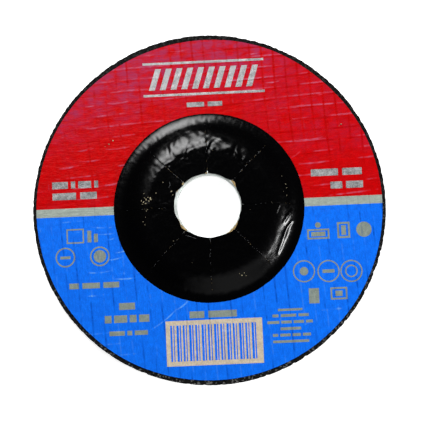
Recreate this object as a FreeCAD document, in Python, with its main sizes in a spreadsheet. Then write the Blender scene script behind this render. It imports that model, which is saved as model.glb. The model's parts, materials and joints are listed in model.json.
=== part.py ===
import FreeCAD, Part
import math
import os
import sys

import Sketcher
from FreeCAD import Placement, Rotation, Vector

# Depressed-centre grinding disc, lying on its grinding face with the label up.
# +Z is the spin axis, z = 0 is the grinding face, and +X runs along the label's silver band.
# Lengths are in millimetres and angles in degrees.

# Driving dimensions: alias, value, what it measures
SIZES = [
    ("disc_dia", 125.0, "outer diameter of the moulded body"),
    ("disc_thick", 4.0, "thickness of the moulded body, square to its faces"),
    ("rim_edge", 0.4, "chamfer on the two edges of the rim"),
    ("bore_dia", 22.23, "bore of the steel ring, which fits the machine's spigot"),
    ("hub_rise", 4.6, "height of the hub's top above the rim's top"),
    ("foot_dia", 67.0, "diameter at which the hub starts to rise"),
    ("slope_angle", 31.0, "slope of the hub's wall from the horizontal"),
    ("foot_radius", 8.0, "hollow radius where the wall leaves the rim"),
    ("crown_radius", 12.0, "rounding where the wall meets the hub's flat top"),
    ("ring_wall", 0.6, "wall of the pressed steel ring"),
    ("ring_flange_width", 2.9, "reach of the ring's wide flange beyond its bore"),
    ("ring_lip_width", 1.35, "reach of the ring's narrow lip beyond its bore"),
    ("ring_bend", 0.35, "bevel of the ring's bore at both ends"),
    ("label_margin", 1.25, "bare rim left outside the label"),
    ("label_thick", 0.2, "thickness of the label sheet"),
    ("label_hole_gap", 0.7, "ring left bare inside the label's hole"),
    ("slit_width", 0.3, "width of the cuts that let the label follow the hub"),
    ("slit_end_gap", 4.5, "distance from the hub's foot at which each cut ends"),
    ("slit_count", 8, "number of cuts round the hole"),
    ("ink_thick", 0.06, "thickness of a printed field"),
    ("field_gap", 0.25, "distance from the hub's foot to the coloured fields"),
    ("band_width", 3.0, "width of the silver band"),
    ("band_offset", 0.3, "height of the band's middle above the disc's centre"),
    ("rule_width", 0.85, "width of each of the two silver rules"),
    ("rule_spacing", 11.6, "distance between the middles of the two rules"),
    ("rule_drop", 0.6, "depth of the rules' middle below the middle of the red field"),
    ("rule_end_gap", 8.9, "distance from the rules' ends to the label's edge"),
    ("bar_gap", 1.5, "clear height between the slanted bars and each rule"),
    ("bar_width", 2.1, "width of one slanted bar"),
    ("bar_pitch", 3.87, "distance from one slanted bar to the next"),
    ("bar_slant", 18.0, "lean of the slanted bars from upright"),
    ("panel_gap", 5.85, "blue left above the pale panel and below it"),
    ("panel_end_gap", 9.2, "distance from the panel's lower corners to the label's edge"),
    ("stripe_margin", 1.6, "pale border round the panel's stripes"),
    ("stripe_count", 7, "number of stripes of each width"),
]

# Each share of the stripes' pitch is the width of one stripe in every group of four
STRIPE_SHARES = (0.55, 0.3, 0.7, 0.4)


def make_sheet(doc):
    """The driving dimensions, one row each, with an alias that expressions read."""
    sheet = doc.addObject("Spreadsheet::Sheet", "sizes")
    for row, (alias, value, meaning) in enumerate(SIZES, start=1):
        sheet.set(f"A{row}", meaning)
        sheet.set(f"B{row}", str(value))
        sheet.setAlias(f"B{row}", alias)
    doc.recompute()
    return sheet


def number(expression):
    """What a size expression comes to, where a sketch is first drawn before its constraints hold it."""
    result = FreeCAD.ActiveDocument.sizes.evalExpression(expression)
    return float(getattr(result, "Value", result))


# Levels and places that more than one piece is set by
RIM_TOP = "sizes.disc_thick"
HUB_TOP = "sizes.disc_thick + sizes.hub_rise"
NUT_SEAT = "sizes.hub_rise"
FIELD_LEVEL = "sizes.disc_thick + sizes.label_thick"
BORE_RADIUS = "sizes.bore_dia / 2"
LABEL_HOLE = "(sizes.bore_dia / 2 + sizes.label_hole_gap)"
LABEL_RADIUS = "(sizes.disc_dia / 2 - sizes.label_margin)"
FIELD_RADIUS = "(sizes.foot_dia / 2 + sizes.field_gap)"
FIELD_MIDDLE = f"({LABEL_RADIUS} + {FIELD_RADIUS}) / 2"
BAND_HIGH = "sizes.band_offset + sizes.band_width / 2"
BAND_LOW = "sizes.band_offset - sizes.band_width / 2"

# The two silver rules: their middles' heights, and half their length, short of the label's edge
RULES_LOW = f"({FIELD_MIDDLE} - sizes.rule_drop - sizes.rule_spacing / 2)"
RULES_HIGH = f"({FIELD_MIDDLE} - sizes.rule_drop + sizes.rule_spacing / 2)"
RULES_TOP = f"({RULES_HIGH} + sizes.rule_width / 2)"
RULE_HALF = f"(sqrt({LABEL_RADIUS} * {LABEL_RADIUS} - {RULES_TOP} * {RULES_TOP}) - sizes.rule_end_gap)"

# The row of slanted bars between the rules: their lowest and highest levels, their shift and their number
BARS_LOW = f"({RULES_LOW} + sizes.rule_width / 2 + sizes.bar_gap)"
BARS_HIGH = f"({RULES_HIGH} - sizes.rule_width / 2 - sizes.bar_gap)"
BAR_SHIFT = f"({BARS_HIGH} - {BARS_LOW}) * tan(sizes.bar_slant * 1 deg)"
BAR_STEPS = f"floor((2 * {RULE_HALF} - sizes.bar_width - {BAR_SHIFT}) / sizes.bar_pitch)"
BARS_LEFT = f"(0 - ({BAR_STEPS} * sizes.bar_pitch + sizes.bar_width + {BAR_SHIFT}) / 2)"

# The pale panel's four sides, which its window in the blue field shares
PANEL_LOW = f"(sizes.panel_gap - {LABEL_RADIUS})"
PANEL_HIGH = f"(0 - {FIELD_RADIUS} - sizes.panel_gap)"
PANEL_HALF = f"(sqrt({LABEL_RADIUS} * {LABEL_RADIUS} - {PANEL_LOW} * {PANEL_LOW}) - sizes.panel_end_gap)"
PANEL_SIDES = (f"0 - {PANEL_HALF}", PANEL_HALF, PANEL_LOW, PANEL_HIGH)


def origin_part(body, role):
    """One of the body's own origin planes or axes."""
    return next(part for part in body.Origin.OriginFeatures if part.Role == role)


def new_body(doc, name):
    body = doc.addObject("PartDesign::Body", name)
    body.Label = name
    return body


class Outline:
    """A closed outline in a sketch, drawn edge by edge, in which each edge is known by a word.

    Points are (out, up): on the XZ plane the distance from the spin axis and the height,
    on the XY plane the two directions of the print.
    """

    START, END = 1, 2
    ORIGIN = (-1, 1)

    def __init__(self, body, name, plane):
        self.sketch = body.newObject("Sketcher::SketchObject", name)
        self.sketch.AttachmentSupport = [(origin_part(body, plane), "")]
        self.sketch.MapMode = "FlatFace"
        self.edges = {}

    def line(self, word, start, end):
        shape = Part.LineSegment(Vector(*start, 0), Vector(*end, 0))
        self.edges[word] = (self.sketch.addGeometry(shape, False), self.START, self.END)

    def arc(self, word, centre, radius, first_angle, last_angle):
        """An arc between two angles. A sketch keeps its arcs anticlockwise, so a clockwise one is flipped."""
        circle = Part.Circle(Vector(*centre, 0), Vector(0, 0, 1), radius)
        low, high = sorted((first_angle, last_angle))
        shape = Part.ArcOfCircle(circle, math.radians(low), math.radians(high))
        ends = (self.START, self.END) if first_angle < last_angle else (self.END, self.START)
        self.edges[word] = (self.sketch.addGeometry(shape, False), *ends)

    def start(self, word):
        edge, first, _ = self.edges[word]
        return edge, first

    def end(self, word):
        edge, _, last = self.edges[word]
        return edge, last

    def close(self):
        """Joins each edge to the next, smoothly where one is an arc, and keeps level edges level."""
        words = list(self.edges)
        for word, following in zip(words, words[1:] + words[:1]):
            kind = "Tangent" if self._is_arc(word) or self._is_arc(following) else "Coincident"
            self.sketch.addConstraint(Sketcher.Constraint(kind, *self.end(word), *self.start(following)))
        for word in words:
            if self._is_arc(word):
                continue
            across, along = self._run(word)
            if abs(along) < 1e-9:
                self.sketch.addConstraint(Sketcher.Constraint("Horizontal", self.edges[word][0]))
            elif abs(across) < 1e-9:
                self.sketch.addConstraint(Sketcher.Constraint("Vertical", self.edges[word][0]))

    def out(self, name, point, expression):
        """Holds how far out a point lies."""
        self._hold("DistanceX", name, (*self.ORIGIN, *point), self.sketch.getPoint(*point).x, expression)

    def up(self, name, point, expression):
        """Holds how high a point lies."""
        self._hold("DistanceY", name, (*self.ORIGIN, *point), self.sketch.getPoint(*point).y, expression)

    def radius(self, word, expression):
        edge = self.edges[word][0]
        self._hold("Radius", word + "_radius", (edge,), self.sketch.Geometry[edge].Radius, expression)

    def direction(self, word, expression):
        """Holds the angle of a straight edge from the sketch's first axis."""
        across, along = self._run(word)
        angle = math.atan2(along, across)
        self._hold("Angle", word + "_direction", (self.edges[word][0],), angle, f"({expression}) * 1 deg")

    def _is_arc(self, word):
        return isinstance(self.sketch.Geometry[self.edges[word][0]], Part.ArcOfCircle)

    def _run(self, word):
        run = self.sketch.getPoint(*self.end(word)) - self.sketch.getPoint(*self.start(word))
        return run.x, run.y

    def _hold(self, kind, name, references, start_value, expression):
        row = self.sketch.addConstraint(Sketcher.Constraint(kind, *references, start_value))
        self.sketch.renameConstraint(row, name)
        self.sketch.setExpression(f"Constraints.{name}", expression)


def rectangle(body, name, plane, left, right, low, high):
    """An upright rectangle, each side at its own expression."""
    outline = Outline(body, name, plane)
    x_low, x_high, y_low, y_high = (number(side) for side in (left, right, low, high))
    outline.line("low_side", (x_low, y_low), (x_high, y_low))
    outline.line("right_side", (x_high, y_low), (x_high, y_high))
    outline.line("high_side", (x_high, y_high), (x_low, y_high))
    outline.line("left_side", (x_low, y_high), (x_low, y_low))
    outline.close()
    outline.out("left", outline.start("low_side"), left)
    outline.out("right", outline.end("low_side"), right)
    outline.up("low", outline.start("low_side"), low)
    outline.up("high", outline.end("right_side"), high)
    return outline.sketch


def turn(body, kind, name, sketch):
    """A Revolution or a Groove of a half section round the spin axis."""
    feature = body.newObject("PartDesign::" + kind, name)
    feature.Profile = sketch
    feature.ReferenceAxis = (origin_part(body, "Z_Axis"), [""])
    feature.Angle = 360
    sketch.Visibility = False
    return feature


def film(body, name, sketch, level=FIELD_LEVEL):
    """A flat sketch printed as a film of ink at a level."""
    sketch.AttachmentOffset = Placement(Vector(0, 0, number(level)), Rotation())
    sketch.setExpression("AttachmentOffset.Base.z", level)
    feature = body.newObject("PartDesign::Pad", name)
    feature.Profile = sketch
    feature.setExpression("Length", "sizes.ink_thick")
    sketch.Visibility = False
    return feature


def window(body, name, sketch):
    """A flat sketch cut upwards through all that lies above it."""
    feature = body.newObject("PartDesign::Pocket", name)
    feature.Profile = sketch
    feature.Type = "ThroughAll"
    feature.Reversed = True
    sketch.Visibility = False
    return feature


def repeat_along(body, name, feature, length, count):
    """Copies of a feature along the band's direction, the last one a length away from the first."""
    pattern = body.newObject("PartDesign::LinearPattern", name)
    pattern.Originals = [feature]
    pattern.Direction = (origin_part(body, "X_Axis"), [""])
    pattern.setExpression("Length", length)
    pattern.setExpression("Occurrences", count)
    body.Tip = pattern
    return pattern


class HubLine:
    """The line of the hub's wall at a distance above the moulded disc's upper face, or below it if negative.

    A hollow arc leaves the rim, a straight slope climbs, and a rounded arc runs into the hub's flat.
    All such lines share the arcs' centres, so that everything they bound lies evenly on the next.
    """

    def __init__(self, offset):
        self.offset = offset
        self.slope = number("sizes.slope_angle")
        self.hollow = number(f"sizes.foot_radius - {offset}")
        self.rounding = number(f"sizes.crown_radius + {offset}")
        angle = math.radians(self.slope)
        self.foot = number("sizes.foot_dia / 2")
        self.rim_level = number(f"{RIM_TOP} + {offset}")
        self.hub_level = number(f"{HUB_TOP} + {offset}")
        both = self.hollow + self.rounding
        straight_rise = self.hub_level - self.rim_level - both * (1 - math.cos(angle))
        self.crown = self.foot - both * math.sin(angle) - straight_rise / math.tan(angle)
        self.slope_low = (
            self.foot - self.hollow * math.sin(angle),
            self.rim_level + self.hollow * (1 - math.cos(angle)),
        )
        self.slope_high = (
            self.crown + self.rounding * math.sin(angle),
            self.hub_level - self.rounding * (1 - math.cos(angle)),
        )

    def climb(self, outline, word):
        """Draws the line inwards, from the rim up to the hub."""
        outline.arc(word + "_foot", self._foot_centre(), self.hollow, 270, 270 - self.slope)
        outline.line(word + "_slope", self.slope_low, self.slope_high)
        outline.arc(word + "_crown", self._crown_centre(), self.rounding, 90 - self.slope, 90)

    def fall(self, outline, word):
        """Draws the line outwards, from the hub down to the rim."""
        outline.arc(word + "_crown", self._crown_centre(), self.rounding, 90, 90 - self.slope)
        outline.line(word + "_slope", self.slope_high, self.slope_low)
        outline.arc(word + "_foot", self._foot_centre(), self.hollow, 270 - self.slope, 270)

    def hold(self, outline, word, climbing):
        """Holds the drawn line to the driving dimensions."""
        foot_point = outline.start(word + "_foot") if climbing else outline.end(word + "_foot")
        outline.out(word + "_foot_place", foot_point, "sizes.foot_dia / 2")
        outline.radius(word + "_foot", f"sizes.foot_radius - {self.offset}")
        outline.radius(word + "_crown", f"sizes.crown_radius + {self.offset}")
        outline.direction(word + "_slope", "180 - sizes.slope_angle" if climbing else "0 - sizes.slope_angle")

    def _foot_centre(self):
        return self.foot, self.rim_level + self.hollow

    def _crown_centre(self):
        return self.crown, self.hub_level - self.rounding


def abrasive_disc(doc):
    """The moulded wheel: a flat grinding rim that rises to a dished hub of the same thickness."""
    body = new_body(doc, "abrasive_disc")
    outline = Outline(body, "disc_section", "XZ_Plane")
    rim, edge, top = number("sizes.disc_dia / 2"), number("sizes.rim_edge"), number(RIM_TOP)
    bore = number(f"{BORE_RADIUS} + sizes.ring_wall")
    upper, lower = HubLine("0"), HubLine("(0 - sizes.disc_thick)")
    outline.line("low_edge", (rim - edge, 0), (rim, edge))
    outline.line("rim_wall", (rim, edge), (rim, top - edge))
    outline.line("high_edge", (rim, top - edge), (rim - edge, top))
    outline.line("rim_top", (rim - edge, top), (upper.foot, top))
    upper.climb(outline, "upper")
    outline.line("hub_top", (upper.crown, upper.hub_level), (bore, upper.hub_level))
    outline.line("bore_wall", (bore, upper.hub_level), (bore, lower.hub_level))
    outline.line("nut_seat", (bore, lower.hub_level), (lower.crown, lower.hub_level))
    lower.fall(outline, "lower")
    outline.line("grinding_face", (lower.foot, 0), (rim - edge, 0))
    outline.close()
    outline.out("rim_radius", outline.start("rim_wall"), "sizes.disc_dia / 2")
    outline.out("low_edge_radius", outline.start("low_edge"), "sizes.disc_dia / 2 - sizes.rim_edge")
    outline.out("high_edge_radius", outline.end("high_edge"), "sizes.disc_dia / 2 - sizes.rim_edge")
    outline.up("grinding_level", outline.start("low_edge"), "0")
    outline.up("low_edge_level", outline.start("rim_wall"), "sizes.rim_edge")
    outline.up("high_edge_level", outline.end("rim_wall"), f"{RIM_TOP} - sizes.rim_edge")
    outline.up("rim_level", outline.start("rim_top"), RIM_TOP)
    outline.up("hub_level", outline.start("bore_wall"), HUB_TOP)
    outline.out("bore_radius", outline.start("bore_wall"), f"{BORE_RADIUS} + sizes.ring_wall")
    outline.up("nut_seat_level", outline.start("nut_seat"), NUT_SEAT)
    upper.hold(outline, "upper", climbing=True)
    lower.hold(outline, "lower", climbing=False)
    turn(body, "Revolution", "moulded_disc", outline.sketch)
    ring_seat(body, "flange_seat", "sizes.ring_flange_width", NUT_SEAT, f"{NUT_SEAT} + sizes.ring_wall")
    ring_seat(body, "lip_seat", "sizes.ring_lip_width", f"{HUB_TOP} - sizes.ring_wall", HUB_TOP)
    return body


def ring_seat(body, name, reach, low, high):
    """A round step turned out of the disc at the bore, in which a flange of the steel ring lies flush."""
    sketch = rectangle(body, name + "_section", "XZ_Plane", BORE_RADIUS, f"{BORE_RADIUS} + {reach}", low, high)
    return turn(body, "Groove", name, sketch)


def bore_ring(doc):
    """The pressed steel ring that lines the bore: a wide flange in the recess and a narrow lip on top."""
    body = new_body(doc, "bore_ring")
    outline = Outline(body, "ring_section", "XZ_Plane")
    bore, wall, bend = number(BORE_RADIUS), number("sizes.ring_wall"), number("sizes.ring_bend")
    low, high = number(NUT_SEAT), number(HUB_TOP)
    flange = bore + number("sizes.ring_flange_width")
    lip = bore + number("sizes.ring_lip_width")
    outline.line("bore_wall", (bore, high - bend), (bore, low + bend))
    outline.line("low_bend", (bore, low + bend), (bore + bend, low))
    outline.line("flange_face", (bore + bend, low), (flange, low))
    outline.line("flange_side", (flange, low), (flange, low + wall))
    outline.line("flange_back", (flange, low + wall), (bore + wall, low + wall))
    outline.line("outer_wall", (bore + wall, low + wall), (bore + wall, high - wall))
    outline.line("lip_back", (bore + wall, high - wall), (lip, high - wall))
    outline.line("lip_side", (lip, high - wall), (lip, high))
    outline.line("lip_face", (lip, high), (bore + bend, high))
    outline.line("high_bend", (bore + bend, high), (bore, high - bend))
    outline.close()
    outline.out("bore_radius", outline.start("bore_wall"), BORE_RADIUS)
    outline.up("bore_high", outline.start("bore_wall"), f"{HUB_TOP} - sizes.ring_bend")
    outline.up("bore_low", outline.end("bore_wall"), f"{NUT_SEAT} + sizes.ring_bend")
    outline.out("low_bend_reach", outline.end("low_bend"), f"{BORE_RADIUS} + sizes.ring_bend")
    outline.out("high_bend_reach", outline.start("high_bend"), f"{BORE_RADIUS} + sizes.ring_bend")
    outline.up("flange_level", outline.start("flange_side"), NUT_SEAT)
    outline.out("flange_reach", outline.start("flange_side"), f"{BORE_RADIUS} + sizes.ring_flange_width")
    outline.up("flange_back_level", outline.start("flange_back"), f"{NUT_SEAT} + sizes.ring_wall")
    outline.out("outer_wall_radius", outline.start("outer_wall"), f"{BORE_RADIUS} + sizes.ring_wall")
    outline.up("lip_back_level", outline.start("lip_back"), f"{HUB_TOP} - sizes.ring_wall")
    outline.out("lip_reach", outline.start("lip_side"), f"{BORE_RADIUS} + sizes.ring_lip_width")
    outline.up("lip_level", outline.start("lip_face"), HUB_TOP)
    turn(body, "Revolution", "pressed_ring", outline.sketch)
    return body


def label_sheet(doc):
    """The paper label, black over the hub: it follows the rim and the hub, with cuts that let it dish."""
    body = new_body(doc, "label_sheet")
    outline = Outline(body, "label_section", "XZ_Plane")
    edge, hole = number(LABEL_RADIUS), number(LABEL_HOLE)
    over, under = HubLine("sizes.label_thick"), HubLine("0")
    outline.line("outer_edge", (edge, under.rim_level), (edge, over.rim_level))
    outline.line("rim_face", (edge, over.rim_level), (over.foot, over.rim_level))
    over.climb(outline, "over")
    outline.line("hub_face", (over.crown, over.hub_level), (hole, over.hub_level))
    outline.line("hole_edge", (hole, over.hub_level), (hole, under.hub_level))
    outline.line("hub_back", (hole, under.hub_level), (under.crown, under.hub_level))
    under.fall(outline, "under")
    outline.line("rim_back", (under.foot, under.rim_level), (edge, under.rim_level))
    outline.close()
    outline.out("edge_radius", outline.start("outer_edge"), LABEL_RADIUS)
    outline.up("edge_low", outline.start("outer_edge"), RIM_TOP)
    outline.up("edge_high", outline.end("outer_edge"), FIELD_LEVEL)
    outline.out("hole_radius", outline.start("hole_edge"), LABEL_HOLE)
    outline.up("hole_high", outline.start("hole_edge"), f"{HUB_TOP} + sizes.label_thick")
    outline.up("hole_low", outline.end("hole_edge"), HUB_TOP)
    over.hold(outline, "over", climbing=True)
    under.hold(outline, "under", climbing=False)
    turn(body, "Revolution", "dished_sheet", outline.sketch)
    half = "sizes.slit_width / 2"
    slit_end = "sizes.foot_dia / 2 - sizes.slit_end_gap"
    sketch = rectangle(body, "slit_sketch", "XY_Plane", BORE_RADIUS, slit_end, f"0 - {half}", half)
    slit = window(body, "slit", sketch)
    slits = body.newObject("PartDesign::PolarPattern", "slits")
    slits.Originals = [slit]
    slits.Axis = (origin_part(body, "Z_Axis"), [""])
    slits.Angle = 360
    slits.setExpression("Occurrences", "sizes.slit_count")
    body.Tip = slits
    return body


def ring_field(doc, name, cut_ranges):
    """A flat ring of ink from the hub to the label's edge, less what lies between each pair of levels."""
    body = new_body(doc, name)
    body.AllowCompound = True
    sketch = body.newObject("Sketcher::SketchObject", "ring_sketch")
    sketch.AttachmentSupport = [(origin_part(body, "XY_Plane"), "")]
    sketch.MapMode = "FlatFace"
    for word, radius in (("outer", LABEL_RADIUS), ("inner", FIELD_RADIUS)):
        circle = Part.Circle(Vector(0, 0, 0), Vector(0, 0, 1), number(radius))
        edge = sketch.addGeometry(circle, False)
        sketch.addConstraint(Sketcher.Constraint("Coincident", edge, 3, -1, 1))
        row = sketch.addConstraint(Sketcher.Constraint("Radius", edge, number(radius)))
        sketch.renameConstraint(row, word)
        sketch.setExpression(f"Constraints.{word}", radius)
    film(body, "ring", sketch)
    reach = "sizes.disc_dia"
    for word, (low, high) in zip(("first", "second"), cut_ranges):
        sketch = rectangle(body, word + "_cut_sketch", "XY_Plane", f"0 - {reach}", reach, low, high)
        window(body, word + "_cut", sketch)
    return body


def rules_and_bars(body, make):
    """The two rules and the row of slanted bars between them, each made as a window or as a film."""
    half = "sizes.rule_width / 2"
    for word, middle in (("low", RULES_LOW), ("high", RULES_HIGH)):
        sides = (f"0 - {RULE_HALF}", RULE_HALF, f"{middle} - {half}", f"{middle} + {half}")
        make(body, word + "_rule", rectangle(body, word + "_rule_sketch", "XY_Plane", *sides))
    first = make(body, "slanted_bar", slanted_bar(body))
    repeat_along(body, "slanted_bars", first, f"{BAR_STEPS} * sizes.bar_pitch", f"{BAR_STEPS} + 1")


def slanted_bar(body):
    """The first slanted bar of the row, which is centred between the rules' ends."""
    outline = Outline(body, "slanted_bar_sketch", "XY_Plane")
    left, low, high = number(BARS_LEFT), number(BARS_LOW), number(BARS_HIGH)
    width, shift = number("sizes.bar_width"), number(BAR_SHIFT)
    outline.line("low_side", (left, low), (left + width, low))
    outline.line("right_side", (left + width, low), (left + width + shift, high))
    outline.line("high_side", (left + width + shift, high), (left + shift, high))
    outline.line("left_side", (left + shift, high), (left, low))
    outline.close()
    outline.out("foot_left", outline.start("low_side"), BARS_LEFT)
    outline.out("foot_right", outline.end("low_side"), f"{BARS_LEFT} + sizes.bar_width")
    outline.up("low", outline.start("low_side"), BARS_LOW)
    outline.up("high", outline.end("right_side"), BARS_HIGH)
    outline.direction("right_side", "90 - sizes.bar_slant")
    outline.direction("left_side", "0 - 90 - sizes.bar_slant")
    return outline.sketch


def red_print(doc):
    """The red field above the band, with windows for the silver rules and bars."""
    body = ring_field(doc, "red_print", [("0 - sizes.disc_dia", BAND_HIGH)])
    rules_and_bars(body, window)
    return body


def silver_print(doc):
    """The silver band across the middle, and the rules and bars in the red field's windows."""
    below, above = ("0 - sizes.disc_dia", BAND_LOW), (BAND_HIGH, "sizes.disc_dia")
    body = ring_field(doc, "silver_print", [below, above])
    rules_and_bars(body, film)
    return body


def panel_print(doc):
    """The pale panel, in its window in the blue field."""
    body = new_body(doc, "panel_print")
    film(body, "panel", rectangle(body, "panel_sketch", "XY_Plane", *PANEL_SIDES))
    return body


def blue_print(doc):
    """The blue field below the band, with the panel's window and the blue stripes printed over the panel."""
    body = ring_field(doc, "blue_print", [(BAND_LOW, "sizes.disc_dia")])
    window(body, "panel_window", rectangle(body, "panel_window_sketch", "XY_Plane", *PANEL_SIDES))
    groups = len(STRIPE_SHARES)
    pitch = f"(({PANEL_HALF} - sizes.stripe_margin) * 2 / ({groups} * sizes.stripe_count))"
    low, high = f"{PANEL_LOW} + sizes.stripe_margin", f"{PANEL_HIGH} - sizes.stripe_margin"
    for place, share in enumerate(STRIPE_SHARES):
        left = f"0 - {PANEL_HALF} + sizes.stripe_margin + {place} * {pitch}"
        right = f"{left} + {share} * {pitch}"
        sketch = rectangle(body, f"stripe_sketch_{place}", "XY_Plane", left, right, low, high)
        stripe = film(body, f"stripe_{place}", sketch, f"{FIELD_LEVEL} + sizes.ink_thick")
        reach = f"{groups} * {pitch} * (sizes.stripe_count - 1)"
        repeat_along(body, f"stripes_{place}", stripe, reach, "sizes.stripe_count")
    return body


def check(doc, parts):
    """Stops with a plain message if anything failed to build or a cut took nothing away."""
    for thing in doc.Objects:
        if {"Invalid", "Error"} & set(thing.State):
            sys.exit(f"{thing.Name} failed to build: {thing.State}")
        if thing.isDerivedFrom("Sketcher::SketchObject") and not thing.FullyConstrained:
            sys.exit(f"{thing.Name} isn't fully constrained")
        cuts = thing.isDerivedFrom("PartDesign::Pocket") or thing.isDerivedFrom("PartDesign::Groove")
        if cuts and thing.Shape.Volume >= thing.BaseFeature.Shape.Volume:
            sys.exit(f"{thing.Name} cuts nothing")
    for part in parts:
        if part.Shape.isNull() or not part.Shape.isValid():
            sys.exit(f"{part.Label} has no valid shape")
        print(part.Label, len(part.Shape.Solids), round(part.Shape.Volume, 2))


def main():
    doc = FreeCAD.newDocument("grinding_disc")
    make_sheet(doc)
    parts = [
        abrasive_disc(doc),
        bore_ring(doc),
        label_sheet(doc),
        silver_print(doc),
        red_print(doc),
        panel_print(doc),
        blue_print(doc),
    ]
    doc.recompute()
    check(doc, parts)
    os.makedirs("parts", exist_ok=True)
    for part in parts:
        part.Shape.exportStep(f"parts/{part.Label}.step")


main()
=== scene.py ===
import json
import math

import bpy
import numpy as np
from mathutils import Matrix, Vector


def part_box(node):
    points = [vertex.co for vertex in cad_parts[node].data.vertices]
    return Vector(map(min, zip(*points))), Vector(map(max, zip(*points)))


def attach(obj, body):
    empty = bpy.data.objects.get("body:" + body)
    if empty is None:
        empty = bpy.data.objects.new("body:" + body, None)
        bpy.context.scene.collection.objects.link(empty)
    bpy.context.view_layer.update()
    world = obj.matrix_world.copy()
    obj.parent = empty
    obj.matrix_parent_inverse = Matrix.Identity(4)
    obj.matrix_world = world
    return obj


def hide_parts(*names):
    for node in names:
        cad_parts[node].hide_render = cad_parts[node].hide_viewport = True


bl_info = {
    "name": "Grinding disc",
    "version": (1, 0, 0),
    "blender": (4, 5, 0),
    "location": "3D View > Sidebar > Disc",
    "description": "Dresses the packed grinding disc in grit, steel and printed paper",
    "category": "Object",
}

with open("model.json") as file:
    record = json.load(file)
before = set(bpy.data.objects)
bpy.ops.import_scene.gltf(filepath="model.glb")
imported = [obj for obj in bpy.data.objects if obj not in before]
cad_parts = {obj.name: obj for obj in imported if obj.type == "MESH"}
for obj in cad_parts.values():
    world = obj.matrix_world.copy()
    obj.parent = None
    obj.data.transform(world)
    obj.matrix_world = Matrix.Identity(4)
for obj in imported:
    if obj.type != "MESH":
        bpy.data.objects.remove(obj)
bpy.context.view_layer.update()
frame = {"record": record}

# Blender works in metres, and most sizes here are written in millimetres
MM = 0.001

# Sizes that the frame gives, in metres
DISC_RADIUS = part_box("abrasive_disc")[1].x
HUB_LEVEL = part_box("abrasive_disc")[1].z
LABEL_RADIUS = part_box("label_sheet")[1].x
LABEL_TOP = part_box("label_sheet")[1].z
PAPER = LABEL_TOP - HUB_LEVEL
FILM_LOW, FILM_HIGH = (corner.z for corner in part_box("red_print"))
RIM_LEVEL = FILM_LOW - PAPER
BAND_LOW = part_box("blue_print")[1].y
BAND_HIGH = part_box("red_print")[0].y
PANEL_LOW, PANEL_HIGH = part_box("panel_print")
RING_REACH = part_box("bore_ring")[1].x
NUT_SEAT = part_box("bore_ring")[0].z
BORE_RADIUS = next(m["dims"]["r_mm"] for m in frame["record"]["mounts"] if m["name"] == "bore") * MM


# Settings that a user may change

def length_setting(name, description, default):
    """A length, its default in millimetres."""
    return bpy.props.FloatProperty(name=name, description=description, default=default * MM, unit="LENGTH")


def angle_setting(name, description, default):
    """An angle, its default in degrees."""
    return bpy.props.FloatProperty(
        name=name, description=description, default=math.radians(default), subtype="ANGLE")


def count_setting(name, description, default, least=1):
    """A number of like things."""
    return bpy.props.IntProperty(name=name, description=description, default=default, min=least)


def power_setting(name, description, default):
    """A lamp's power, in watts."""
    return bpy.props.FloatProperty(name=name, description=description, default=default, unit="POWER")


def colour_setting(name, description, *default):
    """A base colour, its default as linear red, green and blue."""
    return bpy.props.FloatVectorProperty(
        name=name, description=description, default=(*default, 1), size=4, subtype="COLOR")


class DiscSizes(bpy.types.PropertyGroup):
    """Lengths and angles of the disc that the frame doesn't give."""

    foot_radius: length_setting("Hub foot", "Radius at which the hub starts to rise", 33.5)
    hollow: length_setting("Hollow", "Radius of the hollow where the hub's wall leaves the rim", 8)
    rounding: length_setting("Rounding", "Radius of the rounding where the wall meets the hub's top", 12)
    slope: angle_setting("Slope", "Slope of the hub's wall", 31)
    label_hole: length_setting("Label hole", "Radius of the hole in the label", 11.4)
    field_radius: length_setting("Field", "Radius at which the coloured fields begin", 33.75)
    slit_end: length_setting("Slit end", "Radius at which the cuts in the label end", 30)
    slit_width: length_setting("Slit width", "Width of the cuts in the label", 0.2)
    slit_count: count_setting("Slits", "Number of cuts in the label", 8, least=2)
    rule_width: length_setting("Rule width", "Width of the two silver rules", 0.85)
    rule_spacing: length_setting("Rule spacing", "Distance between the middles of the two rules", 11.6)
    rule_length: length_setting("Rule length", "Length of the two silver rules", 43.4)
    bar_height: length_setting("Bar height", "Height of the slanted bars between the rules", 7.75)
    bar_width: length_setting("Bar width", "Width of one slanted bar", 2.1)
    bar_pitch: length_setting("Bar pitch", "Distance from one slanted bar to the next", 3.87)
    bar_slant: angle_setting("Bar slant", "Lean of the slanted bars from upright", 18)
    bar_count: count_setting("Bars", "Number of slanted bars", 10)
    stripe_margin: length_setting("Stripe margin", "Pale border round the panel's stripes", 1.6)
    stripe_count: count_setting("Stripes", "Number of stripes of each width", 7)
    ring_wall: length_setting("Ring wall", "Wall of the steel ring", 0.6)
    ring_lip: length_setting("Ring lip", "Reach of the ring's lip beyond its bore", 1.35)


class ReliefSizes(bpy.types.PropertyGroup):
    """The woven net that shows through the paper, and the grit of the moulded body."""

    net_pitch: length_setting("Net pitch", "Distance between the threads of the glass net", 4.05)
    net_turn: angle_setting("Net turn", "Turn of the net from the print", 3.6)
    ridge: length_setting("Ridges", "Height of the paper's ridges along the net", 0.045)
    valley: length_setting("Valleys", "Depth of the paper's valleys along the net", 0.03)
    wrinkle: length_setting("Wrinkles", "Height of the paper's small wrinkles between the threads", 0.018)
    crumple: length_setting("Crumples", "Height of the crumples of the paper over the hub", 0.22)
    grit: length_setting("Grit", "Size of the grains of grit", 0.75)
    grit_height: length_setting("Grit height", "How far the grains stand out of the moulded body", 0.2)


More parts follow.
